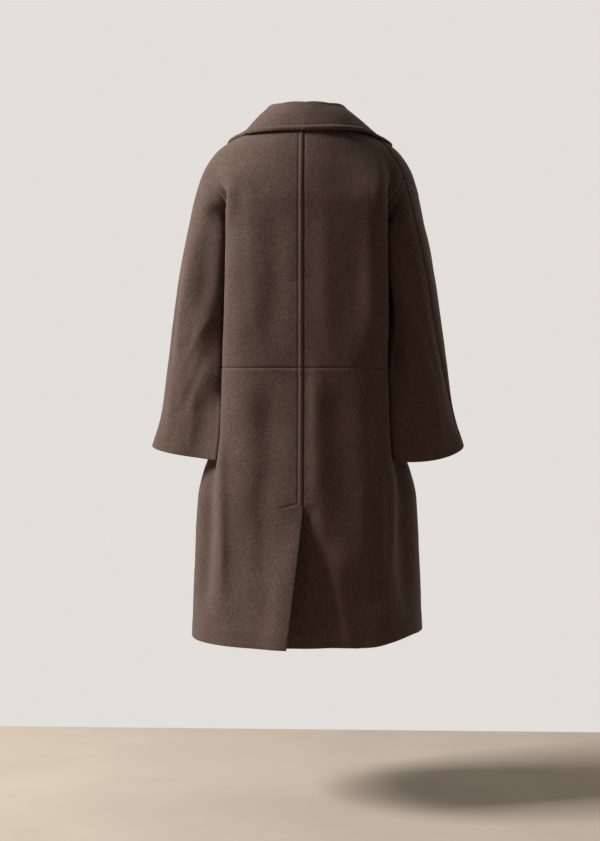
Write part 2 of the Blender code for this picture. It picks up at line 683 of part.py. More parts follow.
def wall_mesh(name, grid, normals):
    """A closed wall on both sides of a grid of points."""
    rows, columns = grid.shape[:2]
    outer = grid + normals * WALL / 2.0
    inner = grid - normals * WALL / 2.0
    if np.ptp(grid[0], axis=0).max() < 2.0 * SEAM_GAP:
        outer[0] = outer[0].mean(axis=0)
        inner[0] = inner[0].mean(axis=0)
    points = np.concatenate([outer.reshape(-1, 3), inner.reshape(-1, 3)])
    index = np.arange(rows * columns).reshape(rows, columns)
    back = index + rows * columns
    faces = []
    for i in range(rows - 1):
        for j in range(columns - 1):
            faces.append((index[i, j], index[i, j + 1], index[i + 1, j + 1], index[i + 1, j]))
            faces.append((back[i, j], back[i + 1, j], back[i + 1, j + 1], back[i, j + 1]))
    rim = [(0, j) for j in range(columns)] + [(i, columns - 1) for i in range(1, rows)]
    rim += [(rows - 1, j) for j in range(columns - 2, -1, -1)] + [(i, 0) for i in range(rows - 2, 0, -1)]
    for here, there in zip(rim, rim[1:] + rim[:1]):
        faces.append((index[there], index[here], back[here], back[there]))
    mesh = bpy.data.meshes.new(name)
    mesh.from_pydata(points.tolist(), [], [tuple(int(k) for k in face) for face in faces])
    shape = bmesh.new()
    shape.from_mesh(mesh)
    bmesh.ops.remove_doubles(shape, verts=shape.verts, dist=1e-6)
    bmesh.ops.recalc_face_normals(shape, faces=shape.faces)
    bmesh.ops.triangulate(shape, faces=shape.faces)
    shape.to_mesh(mesh)
    shape.free()
    return mesh


def material(name, colour, roughness):
    """A plain surface."""
    made = bpy.data.materials.new(name)
    made.use_nodes = True
    shader = made.node_tree.nodes["Principled BSDF"]
    shader.inputs["Base Color"].default_value = (*colour, 1.0)
    shader.inputs["Roughness"].default_value = roughness
    shader.inputs["Metallic"].default_value = 0.0
    return made


def add(collection, name, mesh, surface):
    """One named object in the coat's collection."""
    made = bpy.data.objects.new(name, mesh)
    made.data.materials.append(surface)
    collection.objects.link(made)
    return made


def button_mesh(name):
    """A turned button with a raised rim and a dished middle, lying on its back at the origin."""
    top = BUTTON_THICKNESS
    profile = (
        (0.0, 0.0),
        (BUTTON_RADIUS - 0.0025, 0.0),
        (BUTTON_RADIUS, 0.0018),
        (BUTTON_RADIUS - 0.0010, top),
        (BUTTON_RADIUS - 0.0030, top),
        (BUTTON_RADIUS - 0.0050, top - 0.0012),
        (0.0, top - 0.0012),
    )
    mesh = bpy.data.meshes.new(name)
    mesh.from_pydata([(r, 0.0, z) for r, z in profile], [(i, i + 1) for i in range(len(profile) - 1)], [])
    return mesh


def add_buttons(collection, surface):
    """Six buttons in two columns on the upper front."""
    for row, level in enumerate(BUTTON_LEVELS, start=1):
        for side, x in (("left", BUTTON_COLUMN_X), ("right", -BUTTON_COLUMN_X)):
            name = f"button_{row}_{side}"
            made = add(collection, name, button_mesh(name), surface)
            turned = made.modifiers.new("turned", "SCREW")
            turned.axis = "Z"
            turned.steps = 24
            turned.render_steps = 24
            turned.use_normal_flip = True
            turned.use_merge_vertices = True
            turned.merge_threshold = 0.00001
            place_on_front(made, x, level)


def place_on_front(made, x, level):
    """A button set on the upper front, square to the cloth there."""
    cloth = Vector(mirror(on_front(-x, level, 0.0, True)))
    facing = Vector(mirror(on_front(-x, level, 1.0, True))) - cloth
    made.location = cloth + facing * (WALL / 2.0 + BUTTON_GAP)
    made.rotation_euler = facing.to_track_quat("Z", "Y").to_euler()


def build():
    """The whole coat."""
    for old in list(bpy.data.objects):
        bpy.data.objects.remove(old)
    collection = bpy.data.collections.new("double_breasted_coat")
    bpy.context.scene.collection.children.link(collection)
    wool = material("wool", (0.125, 0.090, 0.072), 0.95)
    horn = material("horn", (0.045, 0.030, 0.022), 0.45)
    grids = cloth_grids()
    normals, back_off = seam_normals(grids)
    for name, grid in grids.items():
        moved = inset(grid, normals[name], back_off[name])
        add(collection, name, wall_mesh(name, moved, normals[name]), wool)
    add_buttons(collection, horn)


build()
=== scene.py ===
"""Looks of the double-breasted wool coat: each cut piece as a thin shell of felted wool on its solid's form,
with seams, topstitching, creases and buttons, in a plain studio.

Metres. +X is the wearer's left, the front faces -Y, Z is up, and the origin is the middle of the neck base.
The forms come from the same level rings as the solids, with finer rows and columns.
"""
import json
import math
from functools import lru_cache, partial

import bpy
import numpy as np
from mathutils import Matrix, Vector, noise
from mathutils.kdtree import KDTree

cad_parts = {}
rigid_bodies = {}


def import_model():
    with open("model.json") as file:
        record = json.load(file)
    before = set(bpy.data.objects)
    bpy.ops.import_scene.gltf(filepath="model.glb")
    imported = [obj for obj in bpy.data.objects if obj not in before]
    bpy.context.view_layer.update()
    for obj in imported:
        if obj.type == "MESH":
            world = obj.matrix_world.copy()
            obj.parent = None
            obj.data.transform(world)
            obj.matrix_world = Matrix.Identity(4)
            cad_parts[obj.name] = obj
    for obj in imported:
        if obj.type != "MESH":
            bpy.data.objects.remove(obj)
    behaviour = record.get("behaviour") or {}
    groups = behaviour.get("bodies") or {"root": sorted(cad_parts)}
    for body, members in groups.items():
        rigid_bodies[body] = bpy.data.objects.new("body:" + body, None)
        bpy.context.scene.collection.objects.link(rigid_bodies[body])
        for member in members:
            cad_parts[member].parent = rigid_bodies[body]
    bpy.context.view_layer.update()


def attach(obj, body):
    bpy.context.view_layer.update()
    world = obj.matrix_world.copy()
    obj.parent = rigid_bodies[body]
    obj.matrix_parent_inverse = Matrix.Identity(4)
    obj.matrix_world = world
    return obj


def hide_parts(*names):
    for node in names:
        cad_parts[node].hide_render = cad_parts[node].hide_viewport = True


# Cloth and seams: thickness, hems, rounded rims, and the heights and scales of the cloth's slight waviness.
WALL = 0.0030
SEAM_GAP = 0.0003
HEM_EXTRA = 0.0006
HEM_DEPTH = 0.040
RIM_ANGLES = (40.0, 90.0, 140.0)
RIM_SHARE = 0.45
WAVES = ((0.0008, 13.0), (0.0003, 41.0))

# Sleeves beside the body: how clear they hang, and how near a seam they are held by it.
SLEEVE_CLEARANCE = 0.0037
SLEEVE_DROP_WIDTH = 0.13
SLEEVE_FLATNESS = 2.8
FLAT_FROM = (-0.58, -0.48)
FLAT_TO = (-0.24, -0.16)
BESIDE_ARM_X = 0.05
SLEEVE_SPREAD = 0.21
ARMHOLE_EASE = 0.020
SHOULDER_EASE = (0.010, 0.045)
CONTACT_GAP = 0.0008
CONTACT_SOFTNESS = 0.0004
CONTACT_REACH = (0.004, 0.008)

# Folds and creases: how they fade along their length, beside their piece's seams and under the arm.
FOLD_START = 0.05
FOLD_FADE = 0.10
FOLD_EDGE = 0.1
CREASE_EASE = 0.022
CREASE_ENDS = (-0.12, 0.25)
UNDER_ARM_X = (0.156, 0.188)

# Levels of the main lines.
HEM = -1.124
VENT_TOP = -0.819
WAIST = -0.534
BREAK_POINT = -0.360
UNDERARM = -0.330
SHOULDER_POINT = -0.127
VALLEY_TOP = -0.145
BACK_VALLEY_FOOT = -0.275
FRONT_VALLEY_FOOT = -0.345
CUFF = -0.708
NECK = 0.0
NECK_RISE = 0.012
NECK_RISE_FROM = -0.10

# Fronts, lapels and collar.
OVERLAP = 0.085
FRONT_SPARE = 0.02
ROLL_TOP_X = 0.074
UPPER_LAYER_LIFT = 0.0110
UPPER_LAYER_X = (-0.165, -0.095)
UPPER_LAYER_DEPTH = (0.06, 0.15)
LAPEL_LIFT = 0.0056
LAPEL_TIP = (0.176, -0.110)
LAPEL_BELLY = 0.020
LAPEL_BELLY_WAY = (0.80, -0.60)
LAPEL_START = 0.010
LAPEL_COLUMNS = 24
NOTCH_COLUMN = 12
TURN_POINTS = 13
TURN_ANGLES = (-90.0, 66.0)
COLLAR_COLUMNS = 49
COLLAR_SECTIONS = 61
COLLAR_TIP = (0.166, -0.052)
COLLAR_RIGHT_RISE = 0.032
COLLAR_RISE_OUT = (0.3, 0.8)
COLLAR_RISE_ALONG = (0.35, 0.65)
COLLAR_LEFT_TUCK = 0.026
COLLAR_LEFT_RISE = 0.010
COLLAR_TUCK_ALONG = (0.46, 0.72)
LAID_FROM = 0.66
LAID_CURVE = 1.3
SHOULDER_GAP = 0.0075
SHOULDER_SOFTNESS = 0.0030
SLEEVE_AXIS_X = 0.255

# The right side hangs a little unevenly: its hem rises at the side, its cuff sags at the back, and its
# sleeve's creases lie lower, further along the row and flatter than the left one's.
RIGHT_HEM_LIFT = 0.017
RIGHT_HEM_REACH = (0.2, 0.55)
RIGHT_CUFF_SAG = 0.010
RIGHT_SAG_DEPTH = 0.56
RIGHT_CREASE_CHANGE = (0.022, 0.05, 0.9)

# Vent.
VENT_SWING = 0.034
VENT_FLAP_OUT = 0.006
VENT_SINK = 0.044
VENT_HEM_DROP = 0.006
VENT_REACH = 0.115
VENT_CURVE = 1.15
UNDERLAP_WIDTH = 0.050
UNDERLAP_DEPTH = 0.0050
UNDERLAP_TOP = -0.850

# Buttons.
BUTTON_RADIUS = 0.0140
BUTTON_THICKNESS = 0.0042
BUTTON_GAP = 0.0004
BUTTON_COLUMN_X = 0.058
BUTTON_LEVELS = (-0.392, -0.502, -0.612)
BUTTON_NEIGHBOURS = 40
BUTTON_SEGMENTS = 56
HOLE_RADIUS = 0.0013
HOLE_SPREAD = 0.0027
HOLE_SEGMENTS = 16
DISH_DEPTH = 0.0014
BAR_RADIUS = 0.0005
BAR_LIFT = 0.0003
BAR_SLIP = 0.0004

# A button's outline: distance in from its rim, and height above its foot or depth below its top.
BUTTON_SIDE = ((0.0026, 0.0001), (0.0012, 0.0005), (0.0003, 0.0012), (0.0, 0.0021), (0.0003, 0.0031))
BUTTON_TOP = ((0.0010, 0.0003), (0.0020, 0.0), (0.0030, 0.0002), (0.0042, 0.0009), (0.0056, 0.0013))

# Topstitching: its distance from a seam or an edge, the groove it pulls, and the welt between the two.
STITCH_FROM_SEAM = 0.0118
GROOVE_WIDTH = 0.0016
GROOVE_DEPTH = 0.0009
SEAM_WELT = 0.0013
EDGE_WELT = 0.0010
COLLAR_WELT = 0.0022
STITCH_LENGTH = 0.0042
STITCH_PITCH = 0.0056
STITCH_FADE = 0.004
THREAD_RADIUS = 0.00032

# Grid spacing over the cloth, the rungs of its ladders of levels, and the closer columns beside a plain and a
# topstitched edge.
STEP = 0.0052
FRONT_RUNG = 0.003
BODY_RUNG = 0.004
PLAIN_EDGE = (0.0, 0.0028, 0.0048, 0.0080)
STITCHED_EDGE = (0.0, 0.0027, 0.0045, 0.0064, 0.0083, 0.0098, 0.0108, 0.0118, 0.0128, 0.0140, 0.0165, 0.0205)
BACK_MIDDLE = 52
FRONT_MIDDLE = 72
SLEEVE_MIDDLE = 34
RIDGE_PLACE = 7 / 12
DENSE = 240


def table(names, *rows):
    """Columns of a small table, by name; the first column is the one it is looked up by."""
    order = sorted(rows)
    return dict(zip(names.split(), np.array(order, float).T))


# Level rings of the body below the armholes: the centre back and front, the side, and the pull of each curve.
BODY = table(
    "level back side side_y front back_pull side_pull chest_pull front_pull",
    (-1.124, 0.190, 0.2525, 0.000, -0.185, 0.175, 0.100, 0.100, 0.165),
    (-0.960, 0.178, 0.2465, 0.000, -0.175, 0.178, 0.090, 0.095, 0.160),
    (-0.819, 0.168, 0.2390, 0.000, -0.165, 0.182, 0.075, 0.090, 0.160),
    (-0.760, 0.163, 0.2260, -0.004, -0.160, 0.186, 0.070, 0.085, 0.160),
    (-0.700, 0.158, 0.2030, -0.006, -0.156, 0.186, 0.085, 0.085, 0.155),
    (-0.630, 0.153, 0.1870, -0.003, -0.153, 0.178, 0.108, 0.088, 0.150),
    (-0.534, 0.150, 0.1800, 0.000, -0.150, 0.172, 0.118, 0.092, 0.145),
    (-0.430, 0.150, 0.1750, 0.000, -0.148, 0.168, 0.120, 0.092, 0.140),
    (-0.330, 0.150, 0.1705, 0.000, -0.146, 0.163, 0.120, 0.092, 0.135),
    (-0.120, 0.145, 0.1620, 0.000, -0.112, 0.150, 0.115, 0.080, 0.115),
)

# Level rings round the body and both arms together, from the underarm up to the neck.
SHOULDER = table(
    "level back side side_y front back_pull side_pull chest_pull front_pull",
    (-0.330, 0.150, 0.2765, 0.010, -0.146, 0.165, 0.090, 0.085, 0.150),
    (-0.275, 0.150, 0.2665, 0.008, -0.140, 0.160, 0.088, 0.085, 0.145),
    (-0.187, 0.150, 0.2500, 0.003, -0.128, 0.150, 0.085, 0.080, 0.130),
    (-0.143, 0.1465, 0.2385, 0.000, -0.117, 0.142, 0.080, 0.075, 0.120),
    (-0.110, 0.1415, 0.2275, -0.003, -0.108, 0.132, 0.075, 0.070, 0.110),
    (-0.066, 0.129, 0.1990, -0.006, -0.094, 0.115, 0.066, 0.058, 0.100),
    (-0.044, 0.119, 0.1705, -0.007, -0.085, 0.100, 0.060, 0.052, 0.090),
    (-0.018, 0.102, 0.1240, -0.005, -0.073, 0.075, 0.052, 0.042, 0.070),
    (0.000, 0.086, 0.0880, -0.002, -0.060, 0.052, 0.045, 0.035, 0.050),
)

# Rings of the left sleeve. The inner side hangs lower than the outer side by the drop.
SLEEVE = table(
    "level outer outer_y inner inner_y back_pull inner_back_pull front_pull inner_front_pull drop",
    (-0.708, 0.3430, -0.014, 0.184, 0.085, 0.062, 0.036, 0.086, 0.195, 0.023),
    (-0.671, 0.3310, -0.013, 0.179, 0.083, 0.063, 0.038, 0.087, 0.192, 0.020),
    (-0.627, 0.3200, -0.012, 0.176, 0.079, 0.066, 0.042, 0.089, 0.186, 0.016),
    (-0.517, 0.3045, -0.005, 0.176, 0.062, 0.080, 0.058, 0.095, 0.160, 0.010),
    (-0.429, 0.2920, 0.003, 0.176, 0.034, 0.100, 0.086, 0.104, 0.106, 0.004),
    (-0.330, 0.2765, 0.010, 0.1705, 0.000, 0.124, 0.118, 0.112, 0.106, 0.000),
    (-0.120, 0.2350, 0.000, 0.1620, 0.000, 0.110, 0.105, 0.100, 0.095, 0.000),
)

# The over-arm seam runs this far behind the outermost line of the shoulder and sleeve.
OVER_ARM = table(
    "level left right",
    (-0.708, 0.000, 0.000),
    (-0.600, 0.002, 0.024),
    (-0.500, 0.003, 0.048),
    (-0.376, 0.004, 0.070),
    (-0.280, 0.004, 0.078),
    (-0.127, 0.004, 0.071),
    (-0.080, 0.004, 0.068),
    (-0.056, 0.004, 0.060),
    (-0.018, 0.003, 0.038),
    (0.000, 0.000, 0.000),
)

# The armhole, as a distance along the level ring behind and in front of the over-arm seam.
ARMHOLE = table(
    "level left_behind left_ahead right_behind right_ahead",
    (-0.330, 0.168, 0.102, 0.110, 0.160),
    (-0.240, 0.157, 0.085, 0.092, 0.150),
    (-0.185, 0.141, 0.058, 0.058, 0.122),
    (-0.150, 0.096, 0.034, 0.024, 0.066),
    (-0.137, 0.046, 0.015, 0.010, 0.030),
    (-0.127, 0.000, 0.000, 0.000, 0.000),
)

# The ridge where the flat back turns to the side: how far out it stands at each level.
RIDGE = table(
    "level x",
    (-1.124, 0.180),
    (-0.900, 0.176),
    (-0.770, 0.174),
    (-0.660, 0.172),
    (-0.534, 0.168),
    (-0.330, 0.158),
    (-0.143, 0.157),
    (-0.110, 0.150),
    (-0.066, 0.125),
    (-0.044, 0.105),
    (-0.018, 0.072),
    (0.000, 0.048),
)

# Standing folds down the back: place along the half row, width, height, and the levels they run between.
BACK_FOLDS = (
    (0.380, 0.080, -0.0030, -0.16, -0.50),
    (0.583, 0.060, 0.0070, -0.14, -1.00),
    (0.740, 0.080, -0.0140, -0.50, -1.02),
    (0.780, 0.090, -0.0150, -0.10, -0.26),
)

# Collar sections from the centre back (0) to the front end (1): roll above the seam, outer edge, and its lie.
COLLAR = table(
    "along roll_out roll_up roll edge_x edge_y edge_z swell",
    (0.00, 0.0060, 0.0175, 0.0050, 0.000, 0.1235, -0.0335, 0.0060),
    (0.25, 0.0040, 0.0235, 0.0050, 0.062, 0.1165, -0.0330, 0.0060),
    (0.50, 0.0010, 0.0290, 0.0050, 0.125, 0.0800, -0.0330, 0.0050),
    (0.72, -0.002, 0.0230, 0.0048, 0.172, 0.0150, -0.0480, 0.0040),
    (1.00, 0.0000, 0.0120, 0.0040, 0.178, -0.0250, -0.0560, 0.0030),
)

# Creases, each a soft ridge or trough from one place to another: x and z of both ends on the backs and
# fronts, the share of the row and z on the sleeves; then half width, height (below 0 is a trough) and
# sideways bow.
BACK_LEFT_CREASES = (
    (0.136, -0.110, 0.136, -0.540, 0.045, 0.0075, 0.000),
    (0.140, -0.540, 0.144, -0.880, 0.045, 0.0065, 0.000),
    (0.006, -0.880, 0.034, -1.180, 0.040, 0.0130, 0.000),
    (0.134, -0.140, 0.128, -0.420, 0.016, -0.0022, 0.004),
    (0.112, -0.160, 0.104, -0.480, 0.018, 0.0016, -0.003),
    (0.064, -0.200, 0.074, -0.500, 0.026, -0.0028, 0.006),
    (0.070, -0.560, 0.074, -0.820, 0.030, -0.0036, -0.004),
    (0.112, -0.560, 0.104, -0.840, 0.024, 0.0022, 0.004),
    (0.094, -0.760, 0.086, -0.990, 0.020, -0.0034, 0.005),
    (0.138, -0.900, 0.132, -1.110, 0.026, -0.0024, -0.004),
    (0.052, -0.950, 0.066, -1.118, 0.018, 0.0020, 0.003),
    (0.176, -0.640, 0.174, -1.020, 0.007, 0.0036, 0.002),
    (0.205, -0.800, 0.212, -1.060, 0.014, -0.0030, 0.003),
)
BACK_RIGHT_CREASES = (
    (-0.150, -0.090, -0.150, -0.510, 0.046, 0.0145, 0.000),
    (-0.130, -0.150, -0.122, -0.440, 0.020, -0.0020, -0.004),
    (-0.042, -0.180, -0.052, -0.500, 0.022, 0.0016, -0.005),
    (-0.088, -0.220, -0.080, -0.520, 0.024, -0.0016, 0.004),
    (-0.026, -0.520, -0.036, -0.830, 0.021, 0.0036, -0.003),
    (-0.078, -0.560, -0.092, -0.900, 0.034, -0.0050, -0.006),
    (-0.126, -0.600, -0.132, -0.930, 0.022, 0.0016, 0.004),
    (-0.150, -0.780, -0.148, -1.060, 0.018, -0.0030, 0.004),
    (-0.040, -0.880, -0.060, -1.180, 0.026, -0.0090, 0.000),
    (-0.110, -0.960, -0.122, -1.180, 0.050, -0.0130, 0.000),
    (-0.182, -0.740, -0.180, -0.960, 0.008, 0.0040, 0.005),
    (-0.206, -0.830, -0.216, -1.080, 0.015, -0.0034, -0.004),
)
FRONT_LEFT_CREASES = (
    (0.130, -0.180, 0.060, -0.400, 0.020, -0.0024, 0.010),
    (0.140, -0.420, 0.132, -0.700, 0.022, 0.0024, 0.004),
    (0.104, -0.480, 0.112, -0.860, 0.024, -0.0030, -0.006),
    (0.168, -0.720, 0.176, -1.080, 0.022, 0.0034, 0.005),
    (0.136, -0.760, 0.146, -1.110, 0.022, -0.0034, 0.004),
    (0.060, -0.820, 0.072, -1.110, 0.024, 0.0026, -0.005),
    (0.020, -0.760, 0.028, -1.060, 0.026, -0.0020, 0.004),
)
FRONT_RIGHT_CREASES = (
    (-0.138, -0.170, -0.080, -0.315, 0.020, -0.0022, -0.010),
    (-0.132, -0.400, -0.142, -0.690, 0.020, 0.0026, -0.004),
    (-0.100, -0.500, -0.106, -0.840, 0.026, -0.0028, 0.005),
    (-0.172, -0.700, -0.178, -1.070, 0.020, 0.0036, -0.004),
    (-0.148, -0.800, -0.150, -1.110, 0.020, -0.0030, -0.004),
    (-0.066, -0.780, -0.058, -1.100, 0.026, 0.0026, 0.005),
    (-0.012, -0.700, -0.020, -1.050, 0.024, -0.0022, -0.004),
)
SLEEVE_BACK_CREASES = (
    (0.34, -0.240, 0.30, -0.520, 0.060, 0.0030, 0.01),
    (0.18, -0.300, 0.16, -0.560, 0.060, -0.0032, -0.01),
    (0.52, -0.300, 0.50, -0.600, 0.070, -0.0024, 0.02),
    (0.66, -0.420, 0.44, -0.540, 0.050, 0.0020, 0.02),
    (0.70, -0.500, 0.40, -0.640, 0.055, -0.0026, -0.02),
    (0.26, -0.560, 0.30, -0.700, 0.060, 0.0024, 0.01),
    (0.56, -0.590, 0.60, -0.705, 0.050, 0.0022, -0.01),
)
LEFT_SLEEVE_BACK_CREASES = (
    (0.62, -0.190, 0.62, -0.480, 0.15, 0.0100, 0.00),
    (0.78, -0.570, 0.70, -0.800, 0.24, -0.0170, 0.00),
)
RIGHT_SLEEVE_BACK_CREASES = (
    (0.18, -0.170, 0.20, -0.640, 0.17, 0.0080, 0.00),
    (0.64, -0.165, 0.68, -0.560, 0.15, -0.0240, 0.00),
)
SLEEVE_FRONT_CREASES = (
    (0.30, -0.210, 0.34, -0.500, 0.060, 0.0030, -0.01),
    (0.52, -0.280, 0.46, -0.520, 0.060, -0.0034, 0.02),
    (0.72, -0.400, 0.36, -0.500, 0.050, -0.0036, 0.02),
    (0.76, -0.450, 0.42, -0.560, 0.045, 0.0028, -0.02),
    (0.68, -0.520, 0.34, -0.600, 0.050, -0.0026, 0.01),
    (0.30, -0.560, 0.28, -0.700, 0.060, 0.0026, 0.01),
    (0.58, -0.600, 0.62, -0.705, 0.055, -0.0024, -0.01),
)


def lookup(rows, column, at):
    """A table column at one place, on a smooth curve through its rows that never overshoots them."""
    keys = next(iter(rows.values()))
    values = rows[column]
    at = float(np.clip(at, keys[0], keys[-1]))
    step = np.diff(keys)
    slope = np.diff(values) / step
    bend = np.zeros(len(keys))
    bend[0], bend[-1] = slope[0], slope[-1]
    for i in range(1, len(keys) - 1):
        if slope[i - 1] * slope[i] > 0.0:
            bend[i] = 2.0 * slope[i - 1] * slope[i] / (slope[i - 1] + slope[i])
    i = min(int(np.searchsorted(keys, at, side="right")) - 1, len(keys) - 2)
    t = (at - keys[i]) / step[i]
    start = (1 + 2 * t) * (1 - t) ** 2 * values[i] + t * (1 - t) ** 2 * step[i] * bend[i]
    end = t * t * (3 - 2 * t) * values[i + 1] + t * t * (t - 1) * step[i] * bend[i + 1]
    return start + end


def row_at(rows, at):
    """All the columns of a table at one place, but for the one it is looked up by."""
    return [lookup(rows, name, at) for name in list(rows)[1:]]


def ease(value, low, high):
    """Soft step from 0 at low to 1 at high."""
    t = np.clip((value - low) / (high - low), 0.0, 1.0)
    return t * t * (3.0 - 2.0 * t)


def bezier(start, start_pull, end_pull, end, count=DENSE):
    """Points along one cubic curve."""
    t = np.linspace(0.0, 1.0, count)[:, None]
    start, start_pull, end_pull, end = (np.array(p, float) for p in (start, start_pull, end_pull, end))
    first = (1 - t) ** 3 * start + 3 * (1 - t) ** 2 * t * start_pull
    return first + 3 * (1 - t) * t * t * end_pull + t**3 * end


def lengths(points):
    """Distance run along a line of points."""
    return np.concatenate([[0.0], np.cumsum(np.linalg.norm(np.diff(points, axis=0), axis=1))])


def at_distance(points, distance):
    """Points at given distances along a line."""
    run = lengths(points)
    return np.stack([np.interp(distance, run, points[:, k]) for k in range(points.shape[1])], axis=-1)


def spread(points, count):
    """The same line with evenly spread points."""
    return at_distance(points, np.linspace(0.0, lengths(points)[-1], count))


def between(points, start, end):
    """The part of a line between two distances along it."""
    return at_distance(points, np.linspace(start, end, DENSE))


def edge_columns(length, middle, first, last):
    """Distances along a row: closer together beside its two edges, and even between them."""
    first, last = np.array(first), np.array(last)
    tight = min(1.0, length / (2.5 * (first[-1] + last[-1])))
    inner = np.linspace(first[-1] * tight, length - last[-1] * tight, middle)
    return np.concatenate([first[:-1] * tight, inner, length - last[-2::-1] * tight])


def levels_between(low, high):
    """Levels from one seam up to another, closer together beside both."""
    count = int(round((high - low - 2 * PLAIN_EDGE[-1]) / STEP)) + 1
    return list(low + edge_columns(high - low, count, PLAIN_EDGE, PLAIN_EDGE))


def even_levels(low, high, step=STEP):
    """Evenly spaced levels from one up to another."""
    return list(np.linspace(low, high, int(round((high - low) / step)) + 1))


# Rows of points up the coat.
LOWER_LEVELS = levels_between(HEM, VENT_TOP)[:-5]
LOWER_LEVELS += even_levels(VENT_TOP - 0.0144, VENT_TOP + 0.0048, 0.0016)
LOWER_LEVELS += levels_between(VENT_TOP, WAIST)[3:]
ARMHOLE_LEVELS = even_levels(UNDERARM, -0.160) + even_levels(-0.157, SHOULDER_POINT - 0.0010, 0.0029)
SHOULDER_LEVELS = levels_between(SHOULDER_POINT, NECK)
SIDE_LEVELS = levels_between(WAIST, BREAK_POINT)[:-4]
SIDE_LEVELS += even_levels(BREAK_POINT - 0.006, UNDERARM - 0.003, 0.0030)
UPPER_LEVELS = SIDE_LEVELS + ARMHOLE_LEVELS + SHOULDER_LEVELS
TUBE_LEVELS = levels_between(CUFF, UNDERARM)[::-1]
SLEEVE_LEVELS = ARMHOLE_LEVELS[:0:-1] + TUBE_LEVELS


@lru_cache(maxsize=None)
def ring(kind, level):
    """Half of a level ring: the back curve from the centre to the side, and the front curve on from it."""
    rows = {"body": BODY, "shoulder": SHOULDER}[kind]
    back, side_x, side_y, front, back_pull, side_pull, chest_pull, front_pull = row_at(rows, level)
    behind = bezier((0.0, back), (back_pull, back), (side_x, side_y + side_pull), (side_x, side_y))
    ahead = bezier((side_x, side_y), (side_x, side_y - chest_pull), (front_pull, front), (0.0, front))
    return behind, ahead


def sleeve_ring(level):
    """A ring of the left sleeve: the back curve from the outer to the inner side, and the front curve."""
    outer, outer_y, inner, inner_y, back_pull, inner_back, front_pull, inner_front, _ = row_at(SLEEVE, level)
    start, end = (outer, outer_y), (inner, inner_y)
    behind = bezier(start, (outer, outer_y + back_pull), (inner, inner_y + inner_back), end)
    ahead = bezier(start, (outer, outer_y - front_pull), (inner, inner_y - inner_front), end)
    return behind, ahead


def distance_at_x(points, x):
    """How far along a line whose x only grows or only falls it meets a given x."""
    run = lengths(points)
    if points[-1, 0] < points[0, 0]:
        return float(np.interp(-x, -points[:, 0], run))
    return float(np.interp(x, points[:, 0], run))


def side(right):
    """The side's name in the tables."""
    return "right" if right else "left"


def whole_shoulder(level, right):
    """The shoulder ring from the centre back to the centre front, and where the over-arm seam crosses it."""
    behind, ahead = ring("shoulder", level)
    seam = lengths(behind)[-1] - lookup(OVER_ARM, side(right), level)
    return np.vstack([behind, ahead[1:]]), seam


def parting(level, foot):
    """0 where body and sleeve are one smooth shoulder, 1 where they are two separate rings."""
    return 1.0 - float(ease(level, foot, VALLEY_TOP))


def back_line(level, right):
    """Half of a back row from the centre to its seam, and each point's place by the ridge."""
    lower = ring("body", level)[0]
    upper, share = lower, 1.0
    if level > UNDERARM:
        contour, seam = whole_shoulder(level, right)
        reach = lookup(ARMHOLE, side(right) + "_behind", level)
        upper = between(contour, 0.0, seam - reach)
        share = parting(level, BACK_VALLEY_FOOT)
    ridge_x = lookup(RIDGE, "x", level)
    marks = [(0.0, distance_at_x(line, ridge_x), lengths(line)[-1]) for line in (upper, lower)]
    mixed = (1.0 - share) * np.array(marks[0]) + share * np.array(marks[1])
    run = edge_columns(mixed[-1], BACK_MIDDLE, STITCHED_EDGE, PLAIN_EDGE)
    places = (0.0, RIDGE_PLACE, 1.0)
    place = np.interp(run, mixed, places)
    rows = zip((upper, lower), marks)
    high, low = (at_distance(line, np.interp(place, places, mark)) for line, mark in rows)
    return (1.0 - share) * high + share * low, place


def front_edge_x(level):
    """Where a front ends: its straight edge below the break point, its roll line above."""
    share = np.clip((level - BREAK_POINT) / (NECK - BREAK_POINT), 0.0, 1.0)
    return -OVERLAP + share * (ROLL_TOP_X + OVERLAP)


def both_sides(line):
    """A front line carried on past the centre front to beyond the other front's edge."""
    mirrored = line[::-1] * np.array([-1.0, 1.0])
    whole = np.vstack([line, mirrored[1:]])
    return between(whole, 0.0, distance_on_front(whole, -OVERLAP - FRONT_SPARE))


def distance_on_front(line, x):
    """How far along a front line, past its outermost point, it meets an x."""
    widest = int(np.argmax(line[:, 0]))
    return lengths(line)[widest] + distance_at_x(line[widest:], x)


@lru_cache(maxsize=None)
def front_line(level, right):
    """A front's level line from its seam to beyond the other front's edge."""
    lower = both_sides(ring("body", level)[1])
    if level > UNDERARM:
        contour, seam = whole_shoulder(level, right)
        reach = lookup(ARMHOLE, side(right) + "_ahead", level)
        upper = both_sides(between(contour, seam + reach, lengths(contour)[-1]))
        share = parting(level, FRONT_VALLEY_FOOT)
        lower = (1.0 - share) * spread(upper, 2 * DENSE) + share * spread(lower, 2 * DENSE)
    return lower


